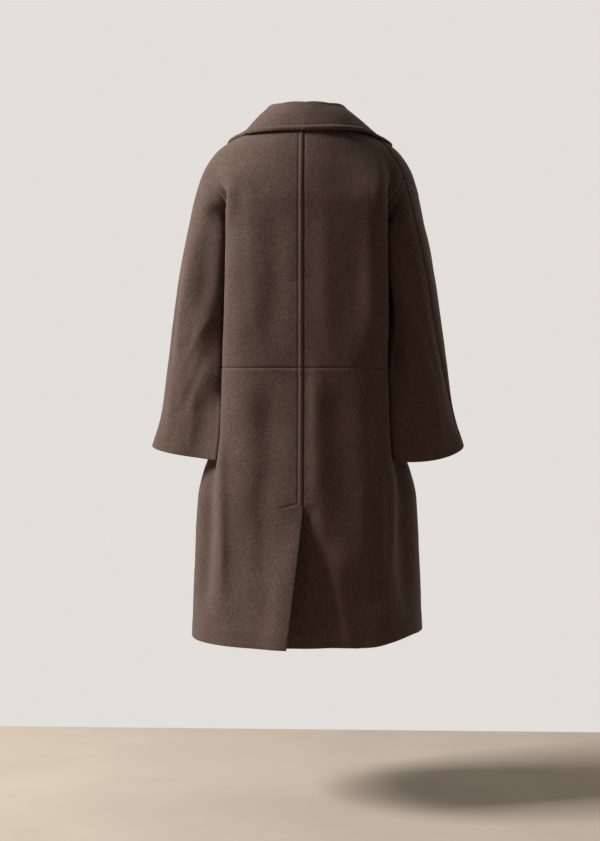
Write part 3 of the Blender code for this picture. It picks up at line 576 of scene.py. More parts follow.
def sleeve_line(level, right, behind):
    """Half of a sleeve row from the over-arm seam to the armhole or underarm seam, and each point's place."""
    back, front = sleeve_ring(level)
    start = lookup(OVER_ARM, side(right), level)
    half = between(back, start, lengths(back)[-1])
    if not behind:
        half = np.vstack([between(back, 0.0, start)[::-1], front[1:]])
    upper, share = half, 1.0
    if level > UNDERARM:
        contour, seam = whole_shoulder(level, right)
        reach = lookup(ARMHOLE, side(right) + ("_behind" if behind else "_ahead"), level)
        upper = between(contour, seam, seam - reach if behind else seam + reach)
        share = parting(level, BACK_VALLEY_FOOT)
    total = (1.0 - share) * lengths(upper)[-1] + share * lengths(half)[-1]
    place = edge_columns(total, SLEEVE_MIDDLE, PLAIN_EDGE if behind else STITCHED_EDGE, PLAIN_EDGE) / total
    if level > UNDERARM and not behind:
        share = share + (parting(level, FRONT_VALLEY_FOOT) - share) * ease(place, 0.0, 0.7)
    share = np.broadcast_to(share, len(place))[:, None]
    high = at_distance(upper, place * lengths(upper)[-1])
    low = at_distance(half, place * lengths(half)[-1])
    return (1.0 - share) * high + share * low, place


def outward(line, turn):
    """Unit directions square to a level line, to the side that turn says."""
    along = np.gradient(line, axis=0)
    across = np.stack([along[:, 1], -along[:, 0]], axis=-1) * turn
    return across / np.maximum(np.linalg.norm(across, axis=1, keepdims=True), 1e-9)


def hem_lift(level, right, from_side):
    """How far the right side's cloth is drawn up, by the share of the way from its side seam."""
    if not right:
        return np.zeros_like(from_side)
    depth = np.clip((VENT_TOP - level) / (VENT_TOP - HEM), 0.0, 1.0)
    return RIGHT_HEM_LIFT * depth**2 * (1.0 - ease(from_side, *RIGHT_HEM_REACH))


@lru_cache(maxsize=None)
def back_row(level, right):
    """Points of a back row, made on the left, with its standing folds."""
    line, place = back_line(level, right)
    push = np.zeros(len(place))
    for middle, width, height, top, bottom in BACK_FOLDS:
        rise = ease(level, top + FOLD_START, top - FOLD_FADE)
        fall = ease(level, bottom - FOLD_FADE, bottom + FOLD_FADE)
        push += height * rise * fall * np.exp(-(((place - middle) / width) ** 2))
    push *= ease(place, 0.0, FOLD_EDGE) * ease(1.0 - place, 0.0, FOLD_EDGE)
    line = line + outward(line, -1.0) * push[:, None]
    height = level + NECK_RISE * ease(level, NECK_RISE_FROM, NECK) * (1.0 - place**2) ** 2
    return np.column_stack([line, height + hem_lift(level, right, 1.0 - place)])


def layer_lift(x, level, right):
    """How far the right front stands out where it lies over the left one."""
    if not right:
        return np.zeros_like(x)
    return UPPER_LAYER_LIFT * ease(-x, *UPPER_LAYER_X) * ease(-level, *UPPER_LAYER_DEPTH)


@lru_cache(maxsize=None)
def front_row(level, right):
    """Points of a front row, made on the left."""
    whole = front_line(level, right)
    total = distance_on_front(whole, front_edge_x(level))
    run = edge_columns(total, FRONT_MIDDLE, STITCHED_EDGE, STITCHED_EDGE)
    line = at_distance(whole, run)
    line[:, 1] -= layer_lift(line[:, 0], level, right)
    return np.column_stack([line, level + hem_lift(level, right, run / total)])


@lru_cache(maxsize=None)
def front_profile(index, right):
    """How far forward the front is across one rung of a ladder of levels: -x from the side inwards, and y."""
    level = index * FRONT_RUNG
    line = front_line(level, right)
    flat = line[int(np.argmax(line[:, 0])):]
    return -flat[:, 0], flat[:, 1] - layer_lift(flat[:, 0], level, right)


@lru_cache(maxsize=None)
def body_profile(index, right):
    """The body's wall beside the sleeve at one rung of a ladder of levels: y from front to back, and x."""
    level = index * BODY_RUNG
    line = np.vstack([back_row(level, right), front_row(level, right)])
    line = line[line[:, 0] > BESIDE_ARM_X]
    order = np.argsort(line[:, 1])
    return line[order, 1], line[order, 0]


def on_ladder(profile, rung, at, level, right):
    """A profile's value at a place, between the two rungs nearest to a level."""
    step = math.floor(level / rung)
    share = level / rung - step
    low, high = (np.interp(at, *profile(k, right)) for k in (step, step + 1))
    return (1.0 - share) * low + share * high


def front_y(x, level, right):
    """How far forward the front's cloth is at a place on it."""
    return on_ladder(front_profile, FRONT_RUNG, -x, level, right)


def off_armhole(level, from_seam):
    """0 where a sleeve is sewn to the body, 1 where it hangs free of it."""
    if level < UNDERARM:
        return 1.0
    return ease(from_seam, 0.0, ARMHOLE_EASE) * ease(SHOULDER_POINT - level, *SHOULDER_EASE)


def flattened(y, level):
    """A back sleeve row's distances to the back, held near their greatest until they turn in to the body."""
    top = int(np.argmax(y))
    reach = y[top] - y[-1]
    power = 1.0 + SLEEVE_FLATNESS * ease(level, *FLAT_FROM) * (1.0 - ease(level, *FLAT_TO))
    flat = y.copy()
    flat[top:] = y[top] - reach * ((y[top] - y[top:]) / max(reach, 1e-6)) ** power
    return flat


def sleeve_row(level, right, behind):
    """Points of a row of a sleeve half, made on the left and kept clear of the body's side."""
    line, place = sleeve_line(level, right, behind)
    if behind:
        line[:, 1] = flattened(line[:, 1], level)
    share = np.clip((lookup(SLEEVE, "outer", level) - line[:, 0]) / SLEEVE_DROP_WIDTH, 0.0, 1.2) ** 0.6
    height = level - lookup(SLEEVE, "drop", level) * share
    if right and behind:
        height -= RIGHT_CUFF_SAG * ease(-level, RIGHT_SAG_DEPTH, -CUFF) * np.sin(np.pi * place)
    from_seam = lengths(line)[-1] - lengths(line)
    for i in range(len(place)):
        wall = on_ladder(body_profile, BODY_RUNG, line[i, 1], height[i], right)
        line[i, 0] = max(line[i, 0], wall + SLEEVE_CLEARANCE * off_armhole(level, from_seam[i]))
    return np.column_stack([line, height])


def vent_share(level):
    """How far open the vent is at a level."""
    return max(0.0, (VENT_TOP - level) / (VENT_TOP - HEM)) ** VENT_CURVE


def lower_back_row(level, right):
    """A row of a lower back piece, with its centre edge swung at the vent."""
    points = back_row(level, right).copy()
    share = vent_share(level)
    near = ease(-points[:, 0], -VENT_REACH * (0.3 + 0.7 * share), 0.0)
    if right:
        step_in = UNDERLAP_DEPTH * ease(-level, -VENT_TOP, -UNDERLAP_TOP)
        points[:, 1] -= (step_in + VENT_SINK * share) * near
        points[:, 2] -= VENT_HEM_DROP * share**2 * near
    else:
        points[:, 0] += VENT_SWING * near * share
        points[:, 1] += VENT_FLAP_OUT * near * share
    return points


def underlap_rows():
    """The strip behind the vent flap, carried on from the right lower back's centre edge to the left."""
    rows = []
    for level in [v for v in LOWER_LEVELS if v <= UNDERLAP_TOP]:
        edge = lower_back_row(level, right=True)[0]
        across = edge_columns(UNDERLAP_WIDTH, 8, PLAIN_EDGE, PLAIN_EDGE)
        rows.append(np.column_stack([across, np.full(len(across), edge[1]), np.full(len(across), edge[2])]))
    return np.array(rows)


def mirror(points):
    """The same points on the other side of the coat."""
    return points * np.array([-1.0, 1.0, 1.0])


def on_front(x, level, out, right):
    """A point moved out square from the front's cloth."""
    step = 0.004
    here = front_y(x, level, right)
    across = (front_y(x + step, level, right) - front_y(x - step, level, right)) / (2.0 * step)
    upward = (front_y(x, level + step, right) - front_y(x, level - step, right)) / (2.0 * step)
    facing = np.array([across, -1.0, upward])
    return np.array([x, here, level]) + facing / np.linalg.norm(facing) * out


def turned_row(roll, path, right):
    """Cloth that turns round a roll line and lies back on the front, along a path of x and z."""
    turn = np.radians(np.linspace(*TURN_ANGLES, TURN_POINTS))
    radius = LAPEL_LIFT / 2.0
    way = (path[0] - roll) / np.linalg.norm(path[0] - roll)
    flat = [roll - way * radius * math.cos(a) for a in turn] + list(path)
    lift = [radius + radius * math.sin(a) for a in turn] + [LAPEL_LIFT] * len(path)
    return np.array([on_front(x, z, out, right) for (x, z), out in zip(flat, lift)])


def lapel_row(level, right):
    """One row of a lapel, made on the left, from the roll line to the outer edge."""
    share = (level - BREAK_POINT) / (NECK - BREAK_POINT)
    tip = np.array(LAPEL_TIP)
    start = np.array([LAPEL_START - OVERLAP, BREAK_POINT])
    roll = np.array([front_edge_x(level), level])
    belly = LAPEL_BELLY * math.sin(math.pi * share) * share
    edge = start + (tip - start) * share + np.array(LAPEL_BELLY_WAY) * belly
    path = [roll + (edge - roll) * (k + 1) / LAPEL_COLUMNS for k in range(LAPEL_COLUMNS)]
    row = turned_row(roll, path, right)
    row[0] = front_row(level, right)[-1]
    return row


def neck_seam(right):
    """Half of the neckline: the back's top row, then the front's top row to the roll line."""
    return spread(np.vstack([back_row(NECK, right), front_row(NECK, right)[1:]]), COLLAR_SECTIONS)


def outside_shoulder(point):
    """A collar point, made on the left, moved out from the shoulder below it, where it is too near."""
    if point[2] > NECK:
        return point
    contour, _ = whole_shoulder(round(float(point[2]), 3), False)
    middle_y = 0.01
    angle = np.arctan2(contour[:, 0], contour[:, 1] - middle_y)
    own = math.atan2(point[0], point[1] - middle_y)
    reach = np.interp(own, angle, np.hypot(contour[:, 0], contour[:, 1] - middle_y)) + SHOULDER_GAP
    here = math.hypot(point[0], point[1] - middle_y)
    push = SHOULDER_SOFTNESS * math.log1p(math.exp(min((reach - here) / SHOULDER_SOFTNESS, 50.0)))
    share = 1.0 + push / here
    return np.array([point[0] * share, middle_y + (point[1] - middle_y) * share, point[2]])


def standing_section(seam, along, right):
    """A collar section with stand, roll and fall, from the neck seam to the outer edge."""
    roll_out, roll_up, roll, edge_x, edge_y, edge_z, swell = row_at(COLLAR, along)
    tuck = 0.0 if right else float(ease(along, *COLLAR_TUCK_ALONG))
    edge = np.array([edge_x - COLLAR_LEFT_TUCK * tuck, edge_y, edge_z + COLLAR_LEFT_RISE * tuck])
    out = np.array([edge[0] - seam[0], edge[1] - seam[1], 0.0])
    out /= np.linalg.norm(out)
    up = np.array([0.0, 0.0, 1.0])
    top = seam + out * roll_out + up * roll_up
    inner = top - (out + 0.7 * up) * roll
    outer = top + (out - 0.7 * up) * roll
    middle = 0.5 * (outer + edge) + (0.6 * out + 0.8 * up) * swell
    stand = bezier(seam, seam + (inner - seam) * 0.4, inner - up * 0.001, inner, 24)
    over = bezier(inner, inner + up * roll, outer + up * roll, outer, 32)
    fall = bezier(outer, outer + (middle - outer) * 0.6, middle, edge, 48)
    return spread(np.vstack([stand, over[1:], fall[1:]]), COLLAR_COLUMNS)


def gorge_section(right):
    """The collar's front end: the lapel's top row up to the notch, and on to the collar's tip."""
    shared = lapel_row(NECK, right)[: TURN_POINTS + NOTCH_COLUMN]
    steps = COLLAR_COLUMNS - len(shared)
    notch = shared[-1, [0, 2]]
    path = [notch + (np.array(COLLAR_TIP) - notch) * k / steps for k in range(1, steps + 1)]
    return np.vstack([shared, [on_front(x, z, LAPEL_LIFT, right) for x, z in path]])


def collar_section(seam, along, front_end, right):
    """One collar section: standing at the back, laid flat on the front at the end."""
    share = np.linspace(0.0, 1.0, COLLAR_COLUMNS)[:, None]
    laid = front_end + (seam - front_end[0]) * (1.0 - share)
    flat = max(0.0, (along - LAID_FROM) / (1.0 - LAID_FROM)) ** LAID_CURVE
    section = (1.0 - flat) * standing_section(seam, along, right) + flat * laid
    notch = TURN_POINTS + NOTCH_COLUMN - 1
    for i in range(TURN_POINTS, COLLAR_COLUMNS):
        held = flat**6 * (1.0 - ease(i, notch, notch + 12))
        section[i] += (outside_shoulder(section[i]) - section[i]) * (1.0 - held)
    return section


def collar_half(right):
    """The sections of half the collar, made on the left, from the centre back to the front end."""
    seam = neck_seam(right)
    run = lengths(seam)
    front_end = gorge_section(right)
    return np.array([collar_section(p, d / run[-1], front_end, right) for p, d in zip(seam, run)])


def collar_rows():
    """All collar sections, from the right front end round the back to the left front end."""
    whole = np.concatenate([mirror(collar_half(True)[:0:-1]), collar_half(False)])
    along = np.abs(np.linspace(-1.0, 1.0, len(whole)))[:, None]
    out = ease(np.linspace(0.0, 1.0, COLLAR_COLUMNS), *COLLAR_RISE_OUT)
    rise = COLLAR_RIGHT_RISE * np.maximum(-whole[:, :, 0], 0.0)
    whole[:, :, 2] += rise * out * (1.0 - ease(along, *COLLAR_RISE_ALONG))
    return whole


def pair(kind, row, levels):
    """A piece and its fellow on the other side, each a grid of rows at the same levels."""
    left, right = (np.array([row(level, on_right) for level in levels]) for on_right in (False, True))
    return {f"{kind}_left": left, f"{kind}_right": mirror(right)}


def cloth_grids():
    """Every cloth piece by name: its grid of middle-surface points."""
    return {
        **pair("back_upper", back_row, UPPER_LEVELS),
        **pair("back_lower", lower_back_row, LOWER_LEVELS),
        "vent_underlap": underlap_rows(),
        **pair("front_upper", front_row, UPPER_LEVELS),
        **pair("front_lower", front_row, LOWER_LEVELS),
        **pair("sleeve_back", partial(sleeve_row, behind=True), SLEEVE_LEVELS),
        **pair("sleeve_front", partial(sleeve_row, behind=False), SLEEVE_LEVELS),
        "collar": collar_rows(),
        **pair("lapel", lapel_row, [level for level in UPPER_LEVELS if level >= BREAK_POINT - 1e-6]),
    }


def grid_normals(name, grid):
    """Unit normals of a piece's points, to the outside of the tube it belongs to."""
    normal = np.cross(np.gradient(grid, axis=1), np.gradient(grid, axis=0))
    normal /= np.maximum(np.linalg.norm(normal, axis=2, keepdims=True), 1e-12)
    axis_x = 0.0
    if name.startswith("sleeve"):
        axis_x = math.copysign(SLEEVE_AXIS_X, grid[0, 0, 0])
    away = (grid - np.array([axis_x, 0.0, 0.0])) * np.array([1.0, 1.0, 0.0])
    shown = np.sum(normal * away, axis=2)
    if turned(name):
        shown = shown[:, 0]
    return normal if shown.sum() > 0.0 else -normal


def turned(name):
    """True for the collar and the lapels, which turn over and show their other side."""
    return name == "collar" or name.startswith("lapel")


def rim_of(grid):
    """Indices of a grid's border points, once round."""
    rows, columns = grid.shape[:2]
    there = [(0, j) for j in range(columns)] + [(i, columns - 1) for i in range(1, rows)]
    back = [(rows - 1, j) for j in range(columns - 2, -1, -1)] + [(i, 0) for i in range(rows - 2, 0, -1)]
    return there + back


def place_key(point):
    """A place rounded so that two pieces' shared seam points meet."""
    return tuple(np.round(point, 5) + 0.0)


def seam_normals(grids):
    """Normals of every piece, made one where pieces meet, and how far each backs off where they face."""
    own = {name: grid_normals(name, grid) for name, grid in grids.items()}
    met = {}
    for name, grid in grids.items():
        for at in rim_of(grid):
            met.setdefault(place_key(grid[at]), []).append((name, own[name][at]))
    normals = {name: normal.copy() for name, normal in own.items()}
    back_off = {name: np.zeros(grid.shape[:2]) for name, grid in grids.items()}
    for name, grid in grids.items():
        for at in rim_of(grid):
            total = own[name][at].copy()
            for other, normal in met[place_key(grid[at])]:
                if other == name:
                    continue
                alike = np.dot(own[name][at], normal)
                total += ease(alike, *SHARED_NORMAL) * normal
                back_off[name][at] = max(back_off[name][at], 1.0 - ease(alike, *BACKED_OFF))
            normals[name][at] = total / max(np.linalg.norm(total), 1e-9)
    return normals, back_off


# How alike two pieces' normals are at a seam, from -1 where they face each other to 1 where they run on: over
# the first span they come to share one normal, and over the second they stop backing off.
SHARED_NORMAL = (-0.97, -0.90)
BACKED_OFF = (-0.8, -0.2)

# How each kind of piece ends at its first row, last row, first column and last column: at a seam, at a free
# edge, or joined to the next piece without a line.
BORDERS = {
    "back_upper": ("seam", "seam", "seam", "seam"),
    "back_lower": ("edge", "seam", "seam", "seam"),
    "vent_underlap": ("edge", "edge", "join", "edge"),
    "front_upper": ("seam", "seam", "seam", "edge"),
    "front_lower": ("edge", "seam", "seam", "edge"),
    "sleeve_back": ("seam", "edge", "seam", "seam"),
    "sleeve_front": ("seam", "edge", "seam", "seam"),
    "collar": ("seam", "seam", "seam", "edge"),
    "lapel": ("edge", "seam", "join", "edge"),
}

# Topstitched lines: piece, border they follow, lowest and highest level, and height of the welt beside them.
STITCHED = (
    ("back_upper_left", 2, WAIST, 0.02, SEAM_WELT),
    ("back_lower_left", 2, VENT_TOP, WAIST, SEAM_WELT),
    ("front_upper_left", 2, SHOULDER_POINT, 0.02, SEAM_WELT),
    ("front_upper_right", 2, SHOULDER_POINT, 0.02, SEAM_WELT),
    ("sleeve_front_left", 2, -0.80, SHOULDER_POINT, SEAM_WELT),
    ("sleeve_front_right", 2, -0.80, SHOULDER_POINT, SEAM_WELT),
    ("front_upper_left", 3, WAIST, BREAK_POINT, EDGE_WELT),
    ("front_upper_right", 3, WAIST, BREAK_POINT, EDGE_WELT),
    ("front_lower_left", 3, HEM, WAIST, EDGE_WELT),
    ("front_lower_right", 3, HEM, WAIST, EDGE_WELT),
    ("collar", 3, -0.20, 0.10, COLLAR_WELT),
    ("lapel_left", 3, BREAK_POINT, 0.02, EDGE_WELT),
    ("lapel_right", 3, BREAK_POINT, 0.02, EDGE_WELT),
)
VENT_STITCH = ((0.0118, -0.8195), (0.0520, -0.8292))
VENT_STITCH_POINTS = 24
VENT_GROOVE = (0.0017, -0.0015, 0.0)
SEAM_DIP = 0.0009
SEAM_DIP_WIDTH = 0.0030
WAIST_ROLL = 0.0004
WAIST_ROLL_PLACE = 0.0050


def kind_of(name):
    """A piece's kind: its name without its side."""
    return name.removesuffix("_left").removesuffix("_right")


def border_runs(grid):
    """How far every point is from the first row, last row, first column and last column."""
    down = np.cumsum(np.linalg.norm(np.diff(grid, axis=0), axis=2), axis=0)
    down = np.concatenate([np.zeros((1, grid.shape[1])), down])
    over = np.cumsum(np.linalg.norm(np.diff(grid, axis=1), axis=2), axis=1)
    over = np.concatenate([np.zeros((grid.shape[0], 1)), over], axis=1)
    return down, down[-1:] - down, over, over[:, -1:] - over


def crease_push(rows, across, level):
    """Push of a list of creases at places given by a distance across and a level."""
    push = np.zeros_like(across)
    for start, start_level, end, end_level, width, height, bow in rows:
        way = np.array([end - start, end_level - start_level])
        size = np.linalg.norm(way)
        t = ((across - start) * way[0] + (level - start_level) * way[1]) / size**2
        off = ((across - start) * way[1] - (level - start_level) * way[0]) / size - bow * 4.0 * t * (1.0 - t)
        fade = ease(t, *CREASE_ENDS) * ease(1.0 - t, *CREASE_ENDS)
        push += height * fade * np.exp(-((off / width) ** 2))
    return push


def sleeve_creases(name, runs, level):
    """Push of a sleeve's creases, in the share of each row, a little different on the right sleeve."""
    right = name.endswith("right")
    rows = SLEEVE_FRONT_CREASES
    if "back" in name:
        rows = SLEEVE_BACK_CREASES + (RIGHT_SLEEVE_BACK_CREASES if right else LEFT_SLEEVE_BACK_CREASES)
    across = runs[2] / np.maximum(runs[2] + runs[3], 1e-6) * SLEEVE_SPREAD
    drop, slide, share = RIGHT_CREASE_CHANGE if right else (0.0, 0.0, 1.0)
    scaled = []
    for start, start_level, end, end_level, width, height, bow in rows:
        first = ((start + slide) * SLEEVE_SPREAD, start_level - drop)
        last = ((end + slide) * SLEEVE_SPREAD, end_level - drop)
        scaled.append((*first, *last, width * SLEEVE_SPREAD, height * share, bow * SLEEVE_SPREAD))
    return crease_push(scaled, across, level)


def above_cuff(level):
    """0 below the cuffs, 1 above them, where the sleeves hang beside the body."""
    return ease(level, CUFF - 0.04, CUFF + 0.04)


def fold_push(name, grid, runs):
    """Push of a piece's main creases, fading at its side seams and where the body lies under the arm."""
    sets = {
        "back_left": BACK_LEFT_CREASES,
        "back_right": BACK_RIGHT_CREASES,
        "front_left": FRONT_LEFT_CREASES,
        "front_right": FRONT_RIGHT_CREASES,
    }
    words = name.split("_")
    across, level = grid[:, :, 0], grid[:, :, 2]
    if words[0] == "sleeve":
        push = sleeve_creases(name, runs, level)
    elif words[0] in ("back", "front"):
        push = crease_push(sets[f"{words[0]}_{words[-1]}"], across, level)
        push *= 1.0 - ease(np.abs(across), *UNDER_ARM_X) * above_cuff(level)
    else:
        return np.zeros(grid.shape[:2])
    hold = 1.0 - ease(runs[2], 0.0, CREASE_EASE)
    if name == "back_lower_left":
        hold = hold * ease(level, VENT_TOP - 0.020, VENT_TOP)
    return push * (1.0 - hold) * ease(runs[3], 0.0, CREASE_EASE)


def unevenness(grid):
    """Slight waviness of soft thick cloth, the same for pieces that meet."""
    places = [Vector(point) for point in grid.reshape(-1, 3)]
    push = [sum(height * noise.noise(place * scale) for height, scale in WAVES) for place in places]
    return np.array(push).reshape(grid.shape[:2])


def stitch_push(name, grid, runs):
    """Welts and grooves of the topstitching."""
    push = np.zeros(grid.shape[:2])
    level = grid[:, :, 2]
    for piece, border, low, high, welt in STITCHED:
        if piece != name:
            continue
        shown = ease(level, low - STITCH_FADE, low) * ease(-level, -high - STITCH_FADE, -high)
        run = runs[border]
        push += shown * welt * np.sin(np.pi * np.clip(run / STITCH_FROM_SEAM, 0.0, 1.0)) ** 0.8
        push -= shown * GROOVE_DEPTH * np.exp(-(((run - STITCH_FROM_SEAM) / GROOVE_WIDTH) ** 2))
    if name == "back_lower_left":
        groove = (*VENT_STITCH[0], *VENT_STITCH[1], *VENT_GROOVE)
        push += crease_push([groove], grid[:, :, 0], level)
    return push


def seam_share(name, border, level):
    """The share of a seam that shows as a valley: none along the vent, nor where body and sleeve face."""
    if name.startswith("back_lower") and border == 2:
        return ease(level, VENT_TOP - STITCH_FADE, VENT_TOP)
    if border == (2 if name.startswith("front") else 3):
        return 1.0 - above_cuff(level) * (1.0 - ease(level, UNDERARM - 0.01, UNDERARM + 0.04))
    return 1.0


def seam_push(name, level, runs):
    """The shallow valley along each seam, and the slight roll below the waist seam."""
    push = np.zeros(runs[0].shape)
    for border, (run, kind) in enumerate(zip(runs, BORDERS[kind_of(name)])):
        if kind != "seam" or turned(name):
            continue
        push -= seam_share(name, border, level) * SEAM_DIP * np.exp(-((run / SEAM_DIP_WIDTH) ** 2))
    if "_lower_" in name:
        push += WAIST_ROLL * np.exp(-(((runs[1] - WAIST_ROLL_PLACE) / WAIST_ROLL_PLACE) ** 2))
    return push


def half_thickness(name, runs):
    """Half the cloth's thickness: more in turned-up hems and cuffs and in the collar's rolled edge."""
    half = np.full(runs[0].shape, WALL / 2.0)
    for run, kind in zip(runs[:2], BORDERS[kind_of(name)]):
        if kind == "edge" and not turned(name):
            half += HEM_EXTRA * (1.0 - ease(run, HEM_DEPTH - 0.005, HEM_DEPTH + 0.001))
    if turned(name):
        half += HEM_EXTRA * (1.0 - ease(runs[3], 0.006, STITCH_FROM_SEAM))
    return half


def joined(name, grid, at):
    """True at a border point where the cloth runs on into the next piece without a line."""
    if name.startswith("lapel") or name == "vent_underlap":
        return at[1] == 0
    if name == "back_lower_right":
        return at[1] == 0 and grid[at][2] < UNDERLAP_TOP + 1e-4
    return name.startswith("front_upper") and at[1] == grid.shape[1] - 1 and grid[at][2] > BREAK_POINT - 1e-4


def border_ways(grid, normals):
    """Unit directions out of the piece in its own surface at every border point."""
    last_row, last_column = grid.shape[0] - 1, grid.shape[1] - 1
    ways = {}
    for at in rim_of(grid):
        total = np.zeros(3)
        spacing = []
        for edge, inner in (
            (at[0] == 0, (1, at[1])),
            (at[0] == last_row, (last_row - 1, at[1])),
            (at[1] == 0, (at[0], 1)),
            (at[1] == last_column, (at[0], last_column - 1)),
        ):
            if not edge:
                continue
            way = grid[at] - grid[inner]
            way = way - normals[at] * np.dot(way, normals[at])
            size = np.linalg.norm(way)
            spacing.append(size)
            total += way / max(size, 1e-7)
        ways[at] = (total, min(spacing))
    return ways


def drawn_in(name, grid, normals, back_off, half):
    """A piece drawn in at its border to make room for its rounded rim, and the rim's outward directions."""
    moved = grid - normals * back_off[:, :, None] * (WALL + SEAM_GAP) / 2.0
    rim_ways = []
    for at, (way, spacing) in border_ways(grid, normals).items():
        if joined(name, grid, at):
            rim_ways.append(np.zeros(3))
            continue
        step = min(half[at] + SEAM_GAP / 2.0, RIM_SHARE * spacing)
        moved[at] -= way * step
        rim_ways.append(way * step)
    return moved, np.array(rim_ways)


def rim_rings(grid, normals, half, rim_ways):
    """Rings of points that round a shell's border off, from its outer to its inner side."""
    rim = rim_of(grid)
    middle = np.array([grid[at] for at in rim])
    square = np.array([normals[at] * half[at] for at in rim])
    turns = [math.radians(angle) for angle in RIM_ANGLES]
    return [middle + square * math.cos(turn) + rim_ways * math.sin(turn) for turn in turns]


def shell_faces(grid):
    """Faces of a shell: its outer side, its inner side, and the bands between the rings round its rim."""
    rows, columns = grid.shape[:2]
    count = rows * columns
    index = np.arange(count).reshape(rows, columns)
    rim = np.array([index[at] for at in rim_of(grid)])
    rings = [2 * count + k * len(rim) + np.arange(len(rim)) for k in range(len(RIM_ANGLES))]
    chain = [rim, *rings, rim + count]
    quads = np.stack([index[:-1, :-1], index[:-1, 1:], index[1:, 1:], index[1:, :-1]], axis=-1).reshape(-1, 4)
    faces = [quads, quads[:, ::-1] + count]
    for first, second in zip(chain[:-1], chain[1:]):
        faces.append(np.stack([np.roll(first, -1), first, second, np.roll(second, -1)], axis=-1))
    return np.concatenate(faces)


def shell_mesh(name, grid, normals, half, rim_ways):
    """A closed thin shell on both sides of a grid of points, with a rounded rim."""
    reach = normals * half[:, :, None]
    points = [(grid + reach).reshape(-1, 3), (grid - reach).reshape(-1, 3)]
    points += rim_rings(grid, normals, half, rim_ways)
    faces = shell_faces(grid)
    i, j = grid.shape[0] // 2, grid.shape[1] // 2
    facing = np.cross(grid[i, j + 1] - grid[i, j], grid[i + 1, j] - grid[i, j])
    if np.dot(facing, normals[i, j]) < 0.0:
        faces = faces[:, ::-1]
    return mesh_of(name, [(np.concatenate(points).tolist(), faces.tolist())])


def mesh_of(name, parts):
    """One smooth mesh from parts, each a list of points and a list of faces by the part's own numbers."""
    points, faces = [], []
    for own_points, own_faces in parts:
        faces += [tuple(k + len(points) for k in face) for face in own_faces]
        points += [tuple(point) for point in own_points]
    mesh = bpy.data.meshes.new(name)
    mesh.from_pydata(points, [], faces)
    mesh.shade_smooth()
    return mesh


def add_object(name, mesh, surface, body=True):
    """A named object in the scene; all but the studio's own pieces move with the coat."""
    made = bpy.data.objects.new(name, mesh)
    made.data.materials.append(surface)
    bpy.context.scene.collection.objects.link(made)
    if body:
        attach(made, "root")
    return made


def capsule(start, end, normal, radius, lift):
    """Points and faces of one stitch: a short rounded thread that dips into the cloth at both ends."""
    way = end - start
    way = way / np.linalg.norm(way)
    over = np.cross(way, normal)
    over /= np.linalg.norm(over)
    up = np.cross(over, way)
    sides = 6
    rings = ((0.00, 0.45, -1.2), (0.12, 1.0, 0.0), (0.50, 1.0, 0.5), (0.88, 1.0, 0.0), (1.00, 0.45, -1.2))
    points = []
    for share, size, rise in rings:
        centre = start + (end - start) * share + up * (lift + rise * radius)
        for k in range(sides):
            a = 2.0 * math.pi * k / sides
            points.append(centre + (over * math.cos(a) + up * math.sin(a)) * radius * size)
    faces = []
    for r in range(len(rings) - 1):
        for k in range(sides):
            here, there = r * sides + k, r * sides + (k + 1) % sides
            faces.append((here, there, there + sides, here + sides))
    faces.append(tuple(range(sides - 1, -1, -1)))
    faces.append(tuple(range((len(rings) - 1) * sides, len(rings) * sides)))
    return points, faces


def stitch_mesh(name, line, normals):
    """A row of stitches along a line on the cloth."""
    run = lengths(line)
    parts = []
    for s in np.arange(STITCH_PITCH / 2.0, run[-1] - STITCH_LENGTH, STITCH_PITCH):
        start, end = at_distance(line, np.array([s, s + STITCH_LENGTH]))
        up = np.array([np.interp(s, run, normals[:, k]) for k in range(3)])
        parts.append(capsule(start, end, up, THREAD_RADIUS, THREAD_RADIUS * 0.3))
    return mesh_of(name, parts)


def at_stitches(run, values):
    """The values of a row, of points or normals, at the distance of its topstitching."""
    order = np.argsort(run)
    return [np.interp(STITCH_FROM_SEAM, run[order], values[order, k]) for k in range(3)]


def stitch_line(outer, normals, run, low, high):
    """Where a topstitched line lies on a piece, row by row, and the cloth's normals there."""
    line, facing = [], []
    for i in range(outer.shape[0]):
        if run[i].max() < 2.0 * STITCH_FROM_SEAM:
            continue
        point = at_stitches(run[i], outer[i])
        if low <= point[2] <= high:
            line.append(point)
            facing.append(at_stitches(run[i], normals[i]))
    return np.array(line), np.array(facing)


def vent_stitch_line(outer, normals):
    """The slanting line of stitches at the top of the vent, on the left lower back."""
    flat = outer.reshape(-1, 3)
    line, facing = [], []
    for share in np.linspace(0.0, 1.0, VENT_STITCH_POINTS):
        at = (1.0 - share) * np.array(VENT_STITCH[0]) + share * np.array(VENT_STITCH[1])
        away = np.hypot(flat[:, 0] - at[0], flat[:, 2] - at[1])
        near = np.argsort(away)[:4]
        weight = 1.0 / (away[near] + 1e-5)
        y = float((flat[near, 1] * weight).sum() / weight.sum())
        line.append((at[0], y, at[1]))
        facing.append(normals.reshape(-1, 3)[near[0]])
    return np.array(line), np.array(facing)


def pushed(name, grid, normals):
    """A piece's points with its creases, stitching, seams and waviness."""
    runs = border_runs(grid)
    push = fold_push(name, grid, runs) + stitch_push(name, grid, runs)
    push += seam_push(name, grid[:, :, 2], runs) + unevenness(grid)
    return grid + normals * push[:, :, None]


def body_search(where, shaped, normals):
    """A search for the nearest point of the dressed body on one side, and the normals of its points."""
    pieces = [f"{kind}_{where}" for kind in ("back_upper", "back_lower", "front_upper", "front_lower")]
    points = np.concatenate([shaped[name].reshape(-1, 3) for name in pieces])
    search = KDTree(len(points))
    for i, point in enumerate(points):
        search.insert(point, i)
    search.balance()
    return search, np.concatenate([normals[name].reshape(-1, 3) for name in pieces])


